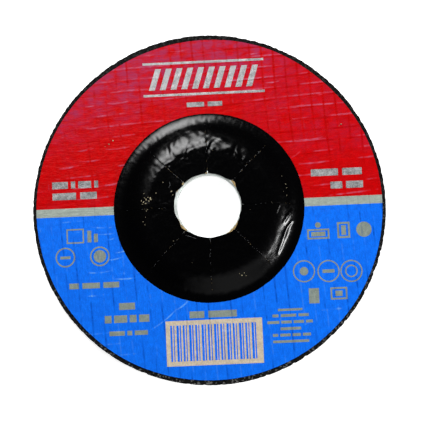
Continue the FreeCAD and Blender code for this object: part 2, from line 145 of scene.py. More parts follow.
class DiscColours(bpy.types.PropertyGroup):
    """Base colours of the disc's finishes."""

    grit: colour_setting("Grit", "Resin-bonded grit", 0.005, 0.005, 0.005)
    steel: colour_setting("Steel", "Pressed steel ring", 0.72, 0.77, 0.74)
    black: colour_setting("Black", "Glossy black print over the hub", 0.0006, 0.0006, 0.0008)
    red: colour_setting("Red", "Red field", 0.57, 0.0015, 0.0025)
    blue: colour_setting("Blue", "Blue field", 0.005, 0.168, 0.99)
    silver: colour_setting("Silver", "Silver band", 0.35, 0.41, 0.36)
    marks: colour_setting("Marks", "Silver marks on the red", 0.435, 0.438, 0.446)
    cream: colour_setting("Cream", "Pale panel", 0.63, 0.54, 0.41)
    torn: colour_setting("Torn paper", "Raw paper at torn edges", 0.42, 0.30, 0.14)
    pale_fibre: colour_setting("Pale fibre", "Pale fibres and hairs", 0.13, 0.135, 0.14)
    tan_fibre: colour_setting("Tan fibre", "Tan fibres in the cuts", 0.15, 0.11, 0.05)
    crumb: colour_setting("Crumb", "Crumbs on the label", 0.32, 0.28, 0.18)


class StudioSettings(bpy.types.PropertyGroup):
    """The camera, the lamps and the floor."""

    camera_distance: length_setting("Camera distance", "Distance from the camera to the disc's centre", 480)
    camera_lean: angle_setting("Camera lean", "Lean of the camera towards the picture's lower edge", 7.3)
    camera_side: angle_setting("Camera side", "Lean of the camera towards the picture's right edge", 1.4)
    print_turn: angle_setting("Print turn", "Turn of the print from the picture's edges", 2.4)
    lens: bpy.props.FloatProperty(
        name="Lens", description="Focal length for a sensor 36 mm wide", default=113.9, unit="CAMERA")
    key_power: power_setting("Key light", "Softbox above the disc's upper left", 4.1)
    side_power: power_setting("Side light", "Low light at the right", 2.9)
    card_power: power_setting("Card light", "Faint card in front", 0.2)
    floor_colour: colour_setting("Floor", "Floor", 0.8, 0.8, 0.8)


# Formulas on whole arrays

# How many random numbers the lattice has along each side before it repeats
LATTICE = 256


def spline_weights(share):
    """The four weights of a cubic B-spline at a share of the way between its two middle points."""
    rest = 1 - share
    return (rest ** 3 / 6, (3 * share ** 3 - 6 * share ** 2 + 4) / 6,
            (3 * rest ** 3 - 6 * rest ** 2 + 4) / 6, share ** 3 / 6)


def soft_noise(x, y, scale, seed):
    """Smooth noise, about -1 to 1: a cubic B-spline surface over a square lattice of random numbers."""
    lattice = np.random.default_rng(seed).uniform(-2, 2, (LATTICE, LATTICE))
    across, along = x / scale, y / scale
    column, row = np.floor(across).astype(int), np.floor(along).astype(int)
    total = np.zeros(np.broadcast(x, y).shape)
    for i, weight_i in enumerate(spline_weights(across - column)):
        for j, weight_j in enumerate(spline_weights(along - row)):
            total += weight_i * weight_j * lattice[(column + i) % LATTICE, (row + j) % LATTICE]
    return total


def bell(distance, width):
    """A bell curve: 1 at no distance, falling to 0 beyond about two widths."""
    return np.exp(-(distance / width) ** 2)


def step(value, low, high):
    """0 below low, 1 above high, smooth between."""
    share = np.clip((value - low) / (high - low), 0, 1)
    return share * share * (3 - 2 * share)


def parameters(rows, columns):
    """Two parameters on a grid, one that changes from row to row and one from column to column.

    Each is given as its start, its end and how many values it takes.
    """
    return np.meshgrid(np.linspace(*rows), np.linspace(*columns), indexing="ij")


def bells_round(angle, places):
    """Bell curves round the disc, added up.

    Each place gives its direction and spread in degrees and its height in millimetres.
    """
    total = np.zeros(np.shape(angle))
    for direction, spread, height in places:
        away = (angle - math.radians(direction) + math.pi) % (2 * math.pi) - math.pi
        total += height * MM * bell(away, math.radians(spread))
    return total


# The relief of the label

# Each thread of the net reads its noise along a line of its own, this far from the next one's
THREAD_LANE = 9 * MM


def net_lines(x, y, relief):
    """Where points lie in the woven net, which is turned against the print and a little wavy.

    Returns the place along the two sets of threads, the distance from the nearest column and row of them,
    and where these two read their noise.
    """
    turned = x * math.cos(relief.net_turn) + y * math.sin(relief.net_turn)
    risen = y * math.cos(relief.net_turn) - x * math.sin(relief.net_turn)
    turned = turned + 0.35 * MM * soft_noise(turned, risen, 14 * MM, 1)
    risen = risen + 0.45 * MM * soft_noise(turned, risen, 12 * MM, 2)
    column, row = np.round(turned / relief.net_pitch), np.round(risen / relief.net_pitch)
    return (turned, risen, turned - column * relief.net_pitch, risen - row * relief.net_pitch,
            column * THREAD_LANE, row * THREAD_LANE)


def net_relief(x, y, relief):
    """The paper over the net: broken ridges along the band, valleys across it, fine wrinkles between.

    Each line is a bell curve across its thread, times noise along it that differs from thread to thread.
    Returns the height, how much of a ridge (above 0) or a valley (below 0) there is, which the inks paint as
    highlight and shade, and the painted sheen, a reflection painted over the print, most at the top and the
    upper left of the red field and least in the valleys.
    """
    turned, risen, from_column, from_row, column_lane, row_lane = net_lines(x, y, relief)
    upper = step(y, -8 * MM, 4 * MM)
    corner = step(x + y, 40 * MM, 62 * MM) * step(y, 12 * MM, 28 * MM)
    along_row = 0.95 * soft_noise(turned, row_lane, 7 * MM, 3)
    along_row += 0.3 * soft_noise(turned, row_lane, 1.2 * MM, 7)
    along_column = soft_noise(column_lane, risen, 4.5 * MM, 4)
    along_column += 0.7 * soft_noise(column_lane, risen, 1.1 * MM, 8)
    ridge = np.clip(-0.65 + 0.68 * upper + 0.2 * corner + along_row, 0, 1) * bell(from_row, 0.3 * MM)
    valley = np.clip(0.4 - 0.2 * upper + 0.45 * corner + 0.6 * along_column, 0, 1)
    valley *= bell(from_column, 0.32 * MM)
    beside_row = np.clip(upper * (0.15 + 0.5 * corner + 0.7 * soft_noise(turned, row_lane, 3 * MM, 18)), 0, 1)
    valley += beside_row * bell(from_row + 0.65 * MM, 0.32 * MM)
    shoulder = np.clip(0.42 - 0.6 * upper - 0.6 * along_column, 0, 1) * bell(from_column - 0.6 * MM, 0.4 * MM)
    wrinkles = 1.9 * upper * soft_noise(x, 3.2 * (y - 0.08 * x), 1.9 * MM, 5)
    swell = 0.6 * soft_noise(x, y, 2.4 * MM, 6) + 0.35 * soft_noise(x, y, 0.9 * MM, 9)
    height = relief.ridge * ridge - relief.valley * (valley - 0.4 * shoulder)
    height += relief.wrinkle * (wrinkles + swell)
    slant = (0.96 * y - 0.28 * x) / LABEL_RADIUS
    clear = np.clip(0.55 + 0.6 * soft_noise(column_lane, risen, 9 * MM, 17) + 6 * (x - y / 2), 0.1, 1)
    cells = 1 - clear * bell(from_column, 0.42 * MM) - 0.5 * bell(from_row + 0.6 * MM, 0.4 * MM)
    cells = np.clip(cells, 0, 1) * (0.8 + 0.6 * soft_noise(x, 1.6 * y, 1.5 * MM, 10))
    # Painted sheen: a reflection of the softbox painted over the top and upper left of the print, broken by
    # the net's cells
    haze = (step(slant, 0.52, 0.95) + 0.18 * corner) * cells
    haze += 0.08 * upper * np.clip(soft_noise(x, y, 3 * MM, 14), 0, 1)
    return height, ridge + 0.28 * shoulder - valley, haze


CREASE_HEIGHT = 0.06 * MM
CREASE_WIDTH = 0.24 * MM

# Creases in the paper: middle x, middle y, angle from the band, length, in millimetres and degrees
CREASES = [
    (-17.4, -39.4, 36, 12.4), (-10.2, -34.1, 37, 6.5), (31.7, 17.4, 33, 5.4), (37.5, 22.8, 5, 9.7),
    (33.8, 30.4, 5, 7.2), (28.8, 38.3, 6, 3.6), (40.1, 38.6, 3, 9.0), (31.0, 34.4, 5, 5.4),
    (-47.8, 27.4, 5, 8.6), (-36.7, 34.5, 6, 5.4), (-40.0, 30.3, 3, 8.3), (-31.3, 22.4, 4, 10.5),
    (-44.4, 22.3, 4, 9.8), (-41.8, 18.4, 3, 10.4), (-40.7, 38.3, 6, 4.6), (-30.9, 39.0, 4, 9.9),
    (-45.0, 8.8, 5, 6.0), (-33.5, 9.8, 12, 7.0), (-29.5, 16.5, 10, 6.0), (-50.5, 16.2, 4, 6.5),
    (-38.8, -5.6, -5, 9.9), (-35.8, -10.0, 9, 4.6), (-33.9, -17.0, 10, 6.1), (-31.1, -14.4, 13, 5.8),
    (-39.7, -21.5, 2, 9.9), (-30.0, -24.1, 2, 10.3), (-41.3, -29.6, 3, 7.8), (-36.5, -8.0, 3, 7.0),
    (18.5, 54.8, 8, 8.0), (-8.0, 57.0, 4, 8.0), (24.5, 44.0, 5, 6.0), (7.0, 44.5, 5, 5.0),
]


def crease_relief(x, y):
    """Long thin folds: each is a bell curve across its line, which bows a little and fades to its ends."""
    height = np.zeros(x.shape)
    broken = 0.75 + 0.5 * soft_noise(x, y, 1.3 * MM, 15)
    for middle_x, middle_y, angle, length in CREASES:
        cosine, sine = math.cos(math.radians(angle)), math.sin(math.radians(angle))
        ahead, aside = x - middle_x * MM, y - middle_y * MM
        along = (ahead * cosine + aside * sine) / (length * MM / 2)
        bow = 0.05 * length * MM * along ** 2
        across = aside * cosine - ahead * sine - bow
        height += bell(across, CREASE_WIDTH) * np.clip(1 - along ** 2, 0, 1)
    return height * broken


# Where the label is cut short of its full radius: direction and spread in degrees, depth in millimetres
SHORT_CUTS = [(-90, 36, 0.5), (114, 20, 0.6), (90, 20, 0.35), (47, 16, 0.42), (-148, 18, 0.15)]


def label_edge(angle):
    """Radius of the label's uneven outer edge in a direction."""
    ragged = soft_noise(LABEL_RADIUS * np.cos(angle), LABEL_RADIUS * np.sin(angle), 0.9 * MM, 16)
    return LABEL_RADIUS - (0.06 * MM * np.abs(ragged) + bells_round(angle, SHORT_CUTS))


def hub_line(radius, offset):
    """Height of the hub's wall at a distance above the moulded face, or below it if negative.

    From the rim inwards: level, a hollow arc, a straight slope, a rounded arc, level.
    """
    sizes = bpy.context.scene.disc_sizes
    hollow, rounding = sizes.hollow - offset, sizes.rounding + offset
    low, high = RIM_LEVEL + offset, HUB_LEVEL + offset
    sine, cosine = math.sin(sizes.slope), math.cos(sizes.slope)
    straight = high - low - (hollow + rounding) * (1 - cosine)
    crown = sizes.foot_radius - (hollow + rounding) * sine - straight * cosine / sine
    from_foot = np.clip(sizes.foot_radius - radius, 0, hollow * sine)
    from_crown = np.clip(radius - crown, 0, rounding * sine)
    hollow_height = low + hollow - np.sqrt(hollow ** 2 - from_foot ** 2)
    crown_height = high - rounding + np.sqrt(rounding ** 2 - from_crown ** 2)
    slope_height = low + hollow * (1 - cosine) + (sizes.foot_radius - hollow * sine - radius) * sine / cosine
    on_hollow = radius > sizes.foot_radius - hollow * sine
    on_crown = radius < crown + rounding * sine
    return np.where(on_hollow, hollow_height, np.where(on_crown, crown_height, slope_height))


# Meshes: a shape is its points, its four-cornered faces and its other faces

# Faces that meet at more than this are shaded with a sharp edge between them
SHARP_ANGLE = math.radians(55)


def grid_faces(rows, columns, wrap=False):
    """The faces of a grid of points in rows, the last column joined to the first if it wraps."""
    index = np.arange(rows * columns).reshape(rows, columns)
    if wrap:
        index = np.column_stack([index, index[:, 0]])
    return np.stack([index[:-1, :-1], index[:-1, 1:], index[1:, 1:], index[1:, :-1]], axis=-1).reshape(-1, 4)


def round_faces(rows, columns):
    """The faces of a closed section of so many points, carried round the disc in so many columns."""
    return grid_faces(rows + 1, columns, wrap=True) % (rows * columns)


def sheet(top, under):
    """A closed sheet from two grids of points: its upper face, its underside in fewer rows, walls between.

    The grids have the same columns, and the underside's first and last rows lie under those of the top.
    """
    rows, columns = top.shape[:2]
    count = rows * columns
    points = np.vstack([top.reshape(-1, 3), under.reshape(-1, 3)])
    high = np.arange(count).reshape(rows, columns)
    low = count + np.arange(len(under) * columns).reshape(-1, columns)
    faces = [grid_faces(rows, columns), grid_faces(len(under), columns)[:, ::-1] + count]
    for wall in ((high[0, 1:], high[0, :-1], low[0, :-1], low[0, 1:]),
                 (high[-1, :-1], high[-1, 1:], low[-1, 1:], low[-1, :-1])):
        faces.append(np.stack(wall, axis=-1))
    ends = [[*high[:, 0], *low[::-1, 0]], [*high[::-1, -1], *low[:, -1]]]
    return points, np.vstack(faces), ends


def strand(path, width, thickness):
    """A closed strand along a path of points, flat on the disc, thinner towards its ends."""
    count, sides = len(path), 6
    along = np.gradient(path, axis=0)
    aside = np.column_stack([-along[:, 1], along[:, 0], 0 * along[:, 0]])
    aside /= np.linalg.norm(aside, axis=1)[:, None]
    taper = 0.25 + 0.75 * np.sin(math.pi * np.linspace(0.08, 0.92, count))[:, None, None]
    turn = np.linspace(0, 2 * math.pi, sides, endpoint=False)[None, :, None]
    ring = aside[:, None] * np.cos(turn) * width / 2 + np.array([0, 0, 1]) * np.sin(turn) * thickness / 2
    points = (path[:, None] + ring * taper).reshape(-1, 3)
    first, last = list(range(sides)), list(range((count - 1) * sides, count * sides))
    return points, grid_faces(count, sides, wrap=True), [first[::-1], last]


def lumps(x, y, height, size, turn, seed):
    """Many small rough lumps as one mesh: a ball of few faces, drawn out, turned and dented for each place.

    The size is each lump's length, width and thickness.
    """
    rings, sides = 4, 8
    up = np.linspace(0, math.pi, rings + 2)[1:-1, None]
    side = np.linspace(0, 2 * math.pi, sides, endpoint=False)[None, :]
    ball = np.stack([np.sin(up) * np.cos(side), np.sin(up) * np.sin(side), -np.cos(up) + 0 * side], axis=-1)
    ball = np.vstack([ball.reshape(-1, 3), [[0, 0, -1], [0, 0, 1]]])
    count = len(x)
    dented = ball[None] * np.random.default_rng(seed).uniform(0.6, 1.1, (count, len(ball), 1))
    drawn = dented * np.stack(size, axis=-1)[:, None] / 2
    cosine, sine = np.cos(turn)[:, None], np.sin(turn)[:, None]
    points = np.stack([
        x[:, None] + drawn[..., 0] * cosine - drawn[..., 1] * sine,
        y[:, None] + drawn[..., 0] * sine + drawn[..., 1] * cosine,
        np.minimum(height[:, None] + drawn[..., 2], LABEL_TOP - 0.002 * MM)], axis=-1)
    low, high = rings * sides, rings * sides + 1
    caps = [[low, (i + 1) % sides, i] for i in range(sides)]
    caps += [[high, low - sides + i, low - sides + (i + 1) % sides] for i in range(sides)]
    shift = (np.arange(count) * len(ball))[:, None, None]
    faces = (grid_faces(rings, sides, wrap=True)[None] + shift).reshape(-1, 4)
    return points.reshape(-1, 3), faces, (np.array(caps)[None] + shift).reshape(-1, 3).tolist()


def join(shapes):
    """Several shapes as one."""
    points, faces, ends, count = [], [], [], 0
    for some_points, some_faces, some_ends in shapes:
        points.append(some_points)
        faces.append(some_faces + count)
        ends += [[int(corner) + count for corner in end] for end in some_ends]
        count += len(some_points)
    return np.vstack(points), np.vstack(faces), ends


def finish_piece(name, shape, material, slot, nodes, **attributes):
    """A shaded piece that rides on the disc and stands for CAD nodes, with values at its points."""
    points, faces, ends = shape
    mesh = bpy.data.meshes.new(name)
    mesh.from_pydata(points, [], [*faces.tolist(), *ends])
    for word, values in attributes.items():
        mesh.attributes.new(word, "FLOAT", "POINT").data.foreach_set("value", values.astype(np.float32))
    mesh.materials.append(material)
    mesh.shade_smooth()
    mesh.set_sharp_from_angle(angle=SHARP_ANGLE)
    mesh.validate()
    piece = bpy.data.objects.new(name, mesh)
    bpy.context.scene.collection.objects.link(piece)
    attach(piece, "root")
    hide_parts(*nodes)


# Materials

class Nodes:
    """The nodes of a material or a group, added one by one."""

    def __init__(self, tree):
        self.tree = tree

    def add(self, kind, links=None, **settings):
        """A node with its settings, and with a link or a plain value at each named socket."""
        node = self.tree.nodes.new(kind)
        for word, value in settings.items():
            setattr(node, word, value)
        for socket, value in (links or {}).items():
            if isinstance(value, bpy.types.NodeSocket):
                self.tree.links.new(value, node.inputs[socket])
            else:
                node.inputs[socket].default_value = value
        return node

    def math(self, operation, *values):
        """The result of a sum on links or plain values."""
        return self.add("ShaderNodeMath", dict(enumerate(values)), operation=operation).outputs[0]

    def ramp(self, value, low, high, start=0.0, end=1.0):
        """A value brought from one range to another, and held within it."""
        return self.add("ShaderNodeMapRange", dict(enumerate((value, low, high, start, end)))).outputs[0]

    def mix(self, share, first, second):
        """The first colour where the share is 0, the second where it is 1."""
        return self.add("ShaderNodeMix", {0: share, 6: first, 7: second}, data_type="RGBA").outputs[2]

    def place(self):
        """Where a point of the piece lies, in metres."""
        return self.add("ShaderNodeTexCoord").outputs["Object"]

    def noise(self, place, scale, detail):
        """Noise at a place, its scale in cells to a metre."""
        links = {"Vector": place, "Scale": scale, "Detail": detail}
        return self.add("ShaderNodeTexNoise", links).outputs["Fac"]

    def attribute(self, name):
        """A value that the piece has at its points."""
        return self.add("ShaderNodeAttribute", attribute_name=name).outputs["Fac"]


def print_grain():
    """The node group of printed paper: masks for its mottling and streaks, and a height for its bump.

    The streaks are noise drawn out by how often it changes along the band and across it. The group is
    built the first time that it is asked for.
    """
    tree = bpy.data.node_groups.get("print grain")
    if tree:
        return tree
    tree = bpy.data.node_groups.new("print grain", "ShaderNodeTree")
    for way, words in (("INPUT", ("Along", "Across")), ("OUTPUT", ("Mottle", "Streaks", "Height"))):
        for word in words:
            tree.interface.new_socket(word, in_out=way, socket_type="NodeSocketFloat")
    nodes = Nodes(tree)
    given, place = nodes.add("NodeGroupInput").outputs, nodes.place()
    often = nodes.add("ShaderNodeCombineXYZ", {"X": given["Along"], "Y": given["Across"]}).outputs[0]
    drawn = nodes.add("ShaderNodeVectorMath", {0: place, 1: often}, operation="MULTIPLY").outputs[0]
    streaks = nodes.noise(drawn, 1.0, 3.0)
    specks = nodes.noise(place, 2400.0, 3.0)
    clouds = nodes.math("MULTIPLY", nodes.noise(place, 520.0, 4.0), 0.5)
    nodes.add("NodeGroupOutput", {
        "Mottle": nodes.math("MULTIPLY_ADD", specks, 0.5, clouds), "Streaks": streaks,
        "Height": nodes.math("MULTIPLY_ADD", specks, 0.3, streaks)})
    return tree


class Finish(Nodes):
    """A material with one Principled shader, its plain settings on the shader's own sockets."""

    def __init__(self, name, colour, **settings):
        self.material = bpy.data.materials.new(name)
        self.material.use_nodes = True
        self.material.diffuse_color = colour
        super().__init__(self.material.node_tree)
        self.shader = self.tree.nodes["Principled BSDF"]
        self.shader.inputs["Base Color"].default_value = colour
        for socket, value in settings.items():
            self.shader.inputs[socket.replace("_", " ")].default_value = value

    def grain(self, along, across):
        """The outputs of the print's grain at two frequencies, in cells to a metre."""
        links = {"Along": along, "Across": across}
        return self.add("ShaderNodeGroup", node_tree=print_grain(), links=links).outputs

    def feed(self, socket, value):
        """Links a value to one of the shader's sockets."""
        self.tree.links.new(value, self.shader.inputs[socket])

    def done(self, tone, height, strength, depth, rough=None):
        """The material, once its shader reads a colour, bumps of a strength and depth, and a roughness."""
        self.feed("Base Color", tone)
        if rough:
            self.feed("Roughness", rough)
        bumps = {"Height": height, "Strength": strength, "Distance": depth}
        self.feed("Normal", self.add("ShaderNodeBump", bumps).outputs[0])
        return self.material


# Tints that lie over a finish in places: dust, a painted glint on grains, bared threads of glass
DUST = (0.004, 0.0042, 0.0045, 1.0)
PAINTED_GLINT = (0.12, 0.12, 0.115, 1.0)
GLASS_THREAD = (0.11, 0.10, 0.085, 1.0)


def scaled(colour, factor):
    """A colour made darker or lighter by a factor."""
    return (*(min(1.0, part * factor) for part in colour[:3]), 1.0)


# The light and dark colours are a painted highlight on ridges and folds and painted shade in valleys, partly
# wear
def ink(name, colour, hazed, light, dark, grain, roughness=0.32, specular=0.07, mottled=(0.86, 1.1)):
    """Printed paper: mottled ink under a painted sheen, with a painted highlight on its ridges and folds and
    painted shade in its valleys, partly wear, finely wrinkled.
    """
    finish = Finish(name, colour, Specular_IOR_Level=specular)
    grains = finish.grain(*grain)
    streaks = finish.ramp(grains["Streaks"], 0.36, 0.64)
    mottle = finish.ramp(grains["Mottle"], 0.41, 0.59)
    tone = finish.mix(mottle, scaled(colour, mottled[0]), scaled(colour, mottled[1]))
    tone = finish.mix(finish.math("MULTIPLY", streaks, 0.25), tone, scaled(colour, 0.5))
    # Painted sheen: the sheen tint laid over the ink where the painted sheen is high
    sheen_share = finish.math("MULTIPLY", finish.attribute("haze"), finish.math("MULTIPLY_ADD", streaks, 0.7, 0.5))
    tone = finish.mix(sheen_share, tone, hazed)
    # Painted highlight on ridges and folds, painted shade in valleys, partly worn paper
    crease = finish.attribute("crease")
    for sign, mask, wear_and_shading in ((-1, mottle, dark), (1, streaks, light)):
        share = finish.ramp(crease, sign * 0.12, sign * 0.9, 0.0, 0.8)
        share = finish.math("MULTIPLY", share, finish.math("MULTIPLY_ADD", mask, 0.7, 0.3))
        tone = finish.mix(share, tone, wear_and_shading)
    rough = finish.ramp(grains["Mottle"], 0.3, 0.7, roughness + 0.06, roughness - 0.06)
    return finish.done(tone, grains["Height"], 1.0, 0.11 * MM, rough)


def red_ink(colours):
    """Crimson under its painted sheen, and pinkish with painted highlights on its ridges."""
    return ink("red ink", colours.red, hazed=(0.4, 0.024, 0.075, 1.0), light=(0.54, 0.12, 0.21, 1.0),
               dark=(0.34, 0.0, 0.0, 1.0), grain=(550.0, 1800.0), specular=0.03)


def blue_ink(colours):
    """Painted highlights on its ridges and painted shade in its valleys, made once for the field and the
    stripes.
    """
    return bpy.data.materials.get("blue ink") or ink(
        "blue ink", colours.blue, hazed=(0.05, 0.2, 0.75, 1.0), light=(0.2, 0.5, 0.85, 1.0),
        dark=(0.0, 0.03, 0.3, 1.0), grain=(1900.0, 600.0))


def silver_ink(colours):
    """The silver-grey of the band."""
    return ink("silver ink", colours.silver, hazed=scaled(colours.silver, 0.95),
               light=(0.5, 0.55, 0.5, 1.0), dark=(0.22, 0.25, 0.23, 1.0), grain=(450.0, 2200.0),
               roughness=0.38, specular=0.3)


def mark_ink(name, colour):
    """The silver of the marks on the red: neutral, and mottled where the ink is thin."""
    return ink(name, colour, hazed=scaled(colour, 0.95), light=scaled(colour, 1.25),
               dark=scaled(colour, 0.4), grain=(1100.0, 1500.0), roughness=0.38, specular=0.3,
               mottled=(0.52, 1.42))


def faded_ink(colours):
    """The silver of the small marks in the blue field, dulled by the ink round them."""
    return ink("faded silver", scaled(colours.silver, 0.72), hazed=scaled(colours.silver, 0.7),
               light=(0.42, 0.47, 0.44, 1.0), dark=(0.06, 0.12, 0.22, 1.0), grain=(1500.0, 700.0))


def cream_ink(colours):
    """The pale panel, like bare paper."""
    return ink("cream ink", colours.cream, hazed=scaled(colours.cream, 1.05), light=(0.72, 0.65, 0.53, 1.0),
               dark=(0.35, 0.3, 0.24, 1.0), grain=(1100.0, 1100.0))


def black_gloss(colours):
    """Glossy black print over paper: smooth lacquer, duller where the paper is crumpled or dusty."""
    finish = Finish("black gloss", colours.black, Specular_IOR_Level=0.3)
    grains = finish.grain(1500.0, 1500.0)
    dust = finish.ramp(grains["Mottle"], 0.58, 0.72, 0.0, 0.7)
    smooth = finish.ramp(grains["Streaks"], 0.35, 0.65, 0.08, 0.15)
    rough = finish.math("MULTIPLY_ADD", finish.attribute("crumple"), 0.08, smooth)
    tone = finish.mix(dust, colours.black, DUST)
    return finish.done(tone, grains["Height"], 0.15, 0.03 * MM, rough)


def bonded_grit(colours):
    """Resin-bonded grit: dark grains of differing tone and shine, a painted glint on the lightest grains, and
    glass threads where the net shows.
    """
    finish = Finish("grit", colours.grit, Specular_IOR_Level=0.06)
    place = finish.place()
    grains = finish.add("ShaderNodeTexVoronoi", {"Vector": place, "Scale": 1900.0}).outputs
    fine = finish.noise(place, 4200.0, 4.0)
    shade = finish.add("ShaderNodeSeparateColor", {0: grains["Color"]}).outputs[0]
    tone = finish.mix(finish.ramp(shade, 0.0, 0.8), scaled(colours.grit, 0.35), scaled(colours.grit, 1.6))
    # Painted glint: the lightest grains painted grey-white, most where the glint weight is high
    painted_glint = finish.math("MULTIPLY", finish.attribute("bare"), finish.ramp(shade, 0.8, 0.92))
    tone = finish.mix(painted_glint, tone, PAINTED_GLINT)
    wear_and_shading = finish.math("MULTIPLY", finish.attribute("net"), finish.ramp(fine, 0.35, 0.6, 0.15, 0.8))
    tone = finish.mix(wear_and_shading, tone, GLASS_THREAD)
    height = finish.math("MULTIPLY_ADD", grains["Distance"], -1.0, fine)
    return finish.done(tone, height, 0.7, 0.12 * MM, finish.ramp(shade, 0.0, 1.0, 0.75, 0.42))


def plated_steel(colours):
    """Dull plated sheet steel: drawn marks round the bore, and dull patches."""
    finish = Finish("pressed steel", colours.steel, Metallic=0.55)
    place = finish.place()
    drawn = finish.add("ShaderNodeMapping", {"Vector": place, "Scale": (1.0, 1.0, 9.0)}).outputs[0]
    marks = finish.noise(drawn, 900.0, 5.0)
    dull = finish.ramp(finish.noise(place, 260.0, 3.0), 0.4, 0.65)
    tone = finish.mix(dull, colours.steel, scaled(colours.steel, 0.62))
    return finish.done(tone, marks, 0.25, 0.03 * MM, finish.ramp(marks, 0.3, 0.7, 0.4, 0.58))


def raw_fibre(name, colour):
    """Raw paper and fibres: dull, dark and light by turns."""
    finish = Finish(name, colour, Roughness=0.9, Specular_IOR_Level=0.15)
    fibres = finish.noise(finish.place(), 2600.0, 4.0)
    tone = finish.mix(finish.ramp(fibres, 0.36, 0.64), scaled(colour, 0.35), scaled(colour, 1.5))
    return finish.done(tone, fibres, 0.5, 0.05 * MM)


# The moulded body

BODY_COLUMNS = 720
EDGE_ROUND = 0.15 * MM

# Room for the grains under the grinding face, and for the label and the ring over the body
GRAIN_ROOM = 0.14 * MM
LABEL_ROOM = 0.25 * MM
RING_ROOM = 0.9 * MM

# Radius of the hub's flat top, inside which the rows are set by the ring
TOP_RADIUS = 20 * MM


def body_profile():
    """The closed half section of the moulded body as rows of (radius, height).

    It goes out over the bare rim, down its wall, in along the underside, up at the ring and out again under
    the label. Rows lie close where the grit shows and far apart under the label and the ring.
    """
    foot, middle = bpy.context.scene.disc_sizes.foot_radius, DISC_RADIUS - EDGE_ROUND
    high, low = RIM_LEVEL - EDGE_ROUND, EDGE_ROUND + GRAIN_ROOM
    quarter = np.linspace(0, math.pi / 2, 5)
    margin = np.linspace(LABEL_RADIUS - 1.4 * MM, middle, 6)[:-1]
    wall = np.linspace(high, low, 9)[1:-1]
    # Just outside the ring's flange, its wall and its lip
    seat, back, lip = RING_REACH + 0.02 * MM, BORE_RADIUS + 0.75 * MM, BORE_RADIUS + 1.6 * MM
    under = np.concatenate([np.linspace(middle, foot, 54)[1:], np.linspace(foot, TOP_RADIUS, 20)[1:],
                            np.linspace(TOP_RADIUS, seat, 9)[1:]])
    over = np.linspace(BORE_RADIUS + 2.2 * MM, margin[0] - 1.0 * MM, 26)
    return np.vstack([
        np.column_stack([margin, np.full(len(margin), RIM_LEVEL - 0.05 * MM)]),
        np.column_stack([middle + EDGE_ROUND * np.sin(quarter), high + EDGE_ROUND * np.cos(quarter)]),
        np.column_stack([np.full(len(wall), DISC_RADIUS), wall]),
        np.column_stack([middle + EDGE_ROUND * np.cos(quarter), low - EDGE_ROUND * np.sin(quarter)]),
        np.column_stack([under, np.maximum(hub_line(under, -RIM_LEVEL), 0) + GRAIN_ROOM]),
        [(seat, NUT_SEAT + RING_ROOM), (back, NUT_SEAT + RING_ROOM), (back, HUB_LEVEL - RING_ROOM),
         (lip, HUB_LEVEL - RING_ROOM), (lip, HUB_LEVEL - LABEL_ROOM)],
        np.column_stack([over, hub_line(over, 0) - LABEL_ROOM])])


def grain_field(points, size, seed):
    """Grains of grit: for each point the random height and the distance of the nearest of scattered centres.

    One centre lies at random in each cell of a cubic lattice, and the 27 cells round a point are searched.
    """
    side = 64
    cell = np.floor(points / size).astype(int)
    random = np.random.default_rng(seed).random((side, side, side, 4))
    nearest = np.full(len(points), np.inf)
    height = np.zeros(len(points))
    for shift in np.ndindex(3, 3, 3):
        near = cell + np.array(shift) - 1
        draw = random[near[:, 0] % side, near[:, 1] % side, near[:, 2] % side]
        distance = np.linalg.norm(points / size - near - draw[:, :3], axis=1)
        closer = distance < nearest
        nearest = np.where(closer, distance, nearest)
        height = np.where(closer, draw[:, 3], height)
    return height, nearest


def glass_net(x, y, relief):
    """The glass net in the grinding face: two sets of flat round-backed threads that lie on top by turns."""
    turned, risen, from_column, from_row, _, _ = net_lines(x, y, relief)
    half_thread = 0.75 * MM
    warp = np.sqrt(np.clip(1 - (from_column / half_thread) ** 2, 0, 1))
    weft = np.sqrt(np.clip(1 - (from_row / half_thread) ** 2, 0, 1))
    turns = np.cos(math.pi * turned / relief.net_pitch) * np.cos(math.pi * risen / relief.net_pitch)
    return np.maximum(warp * (0.75 + 0.25 * turns), weft * (0.75 - 0.25 * turns))


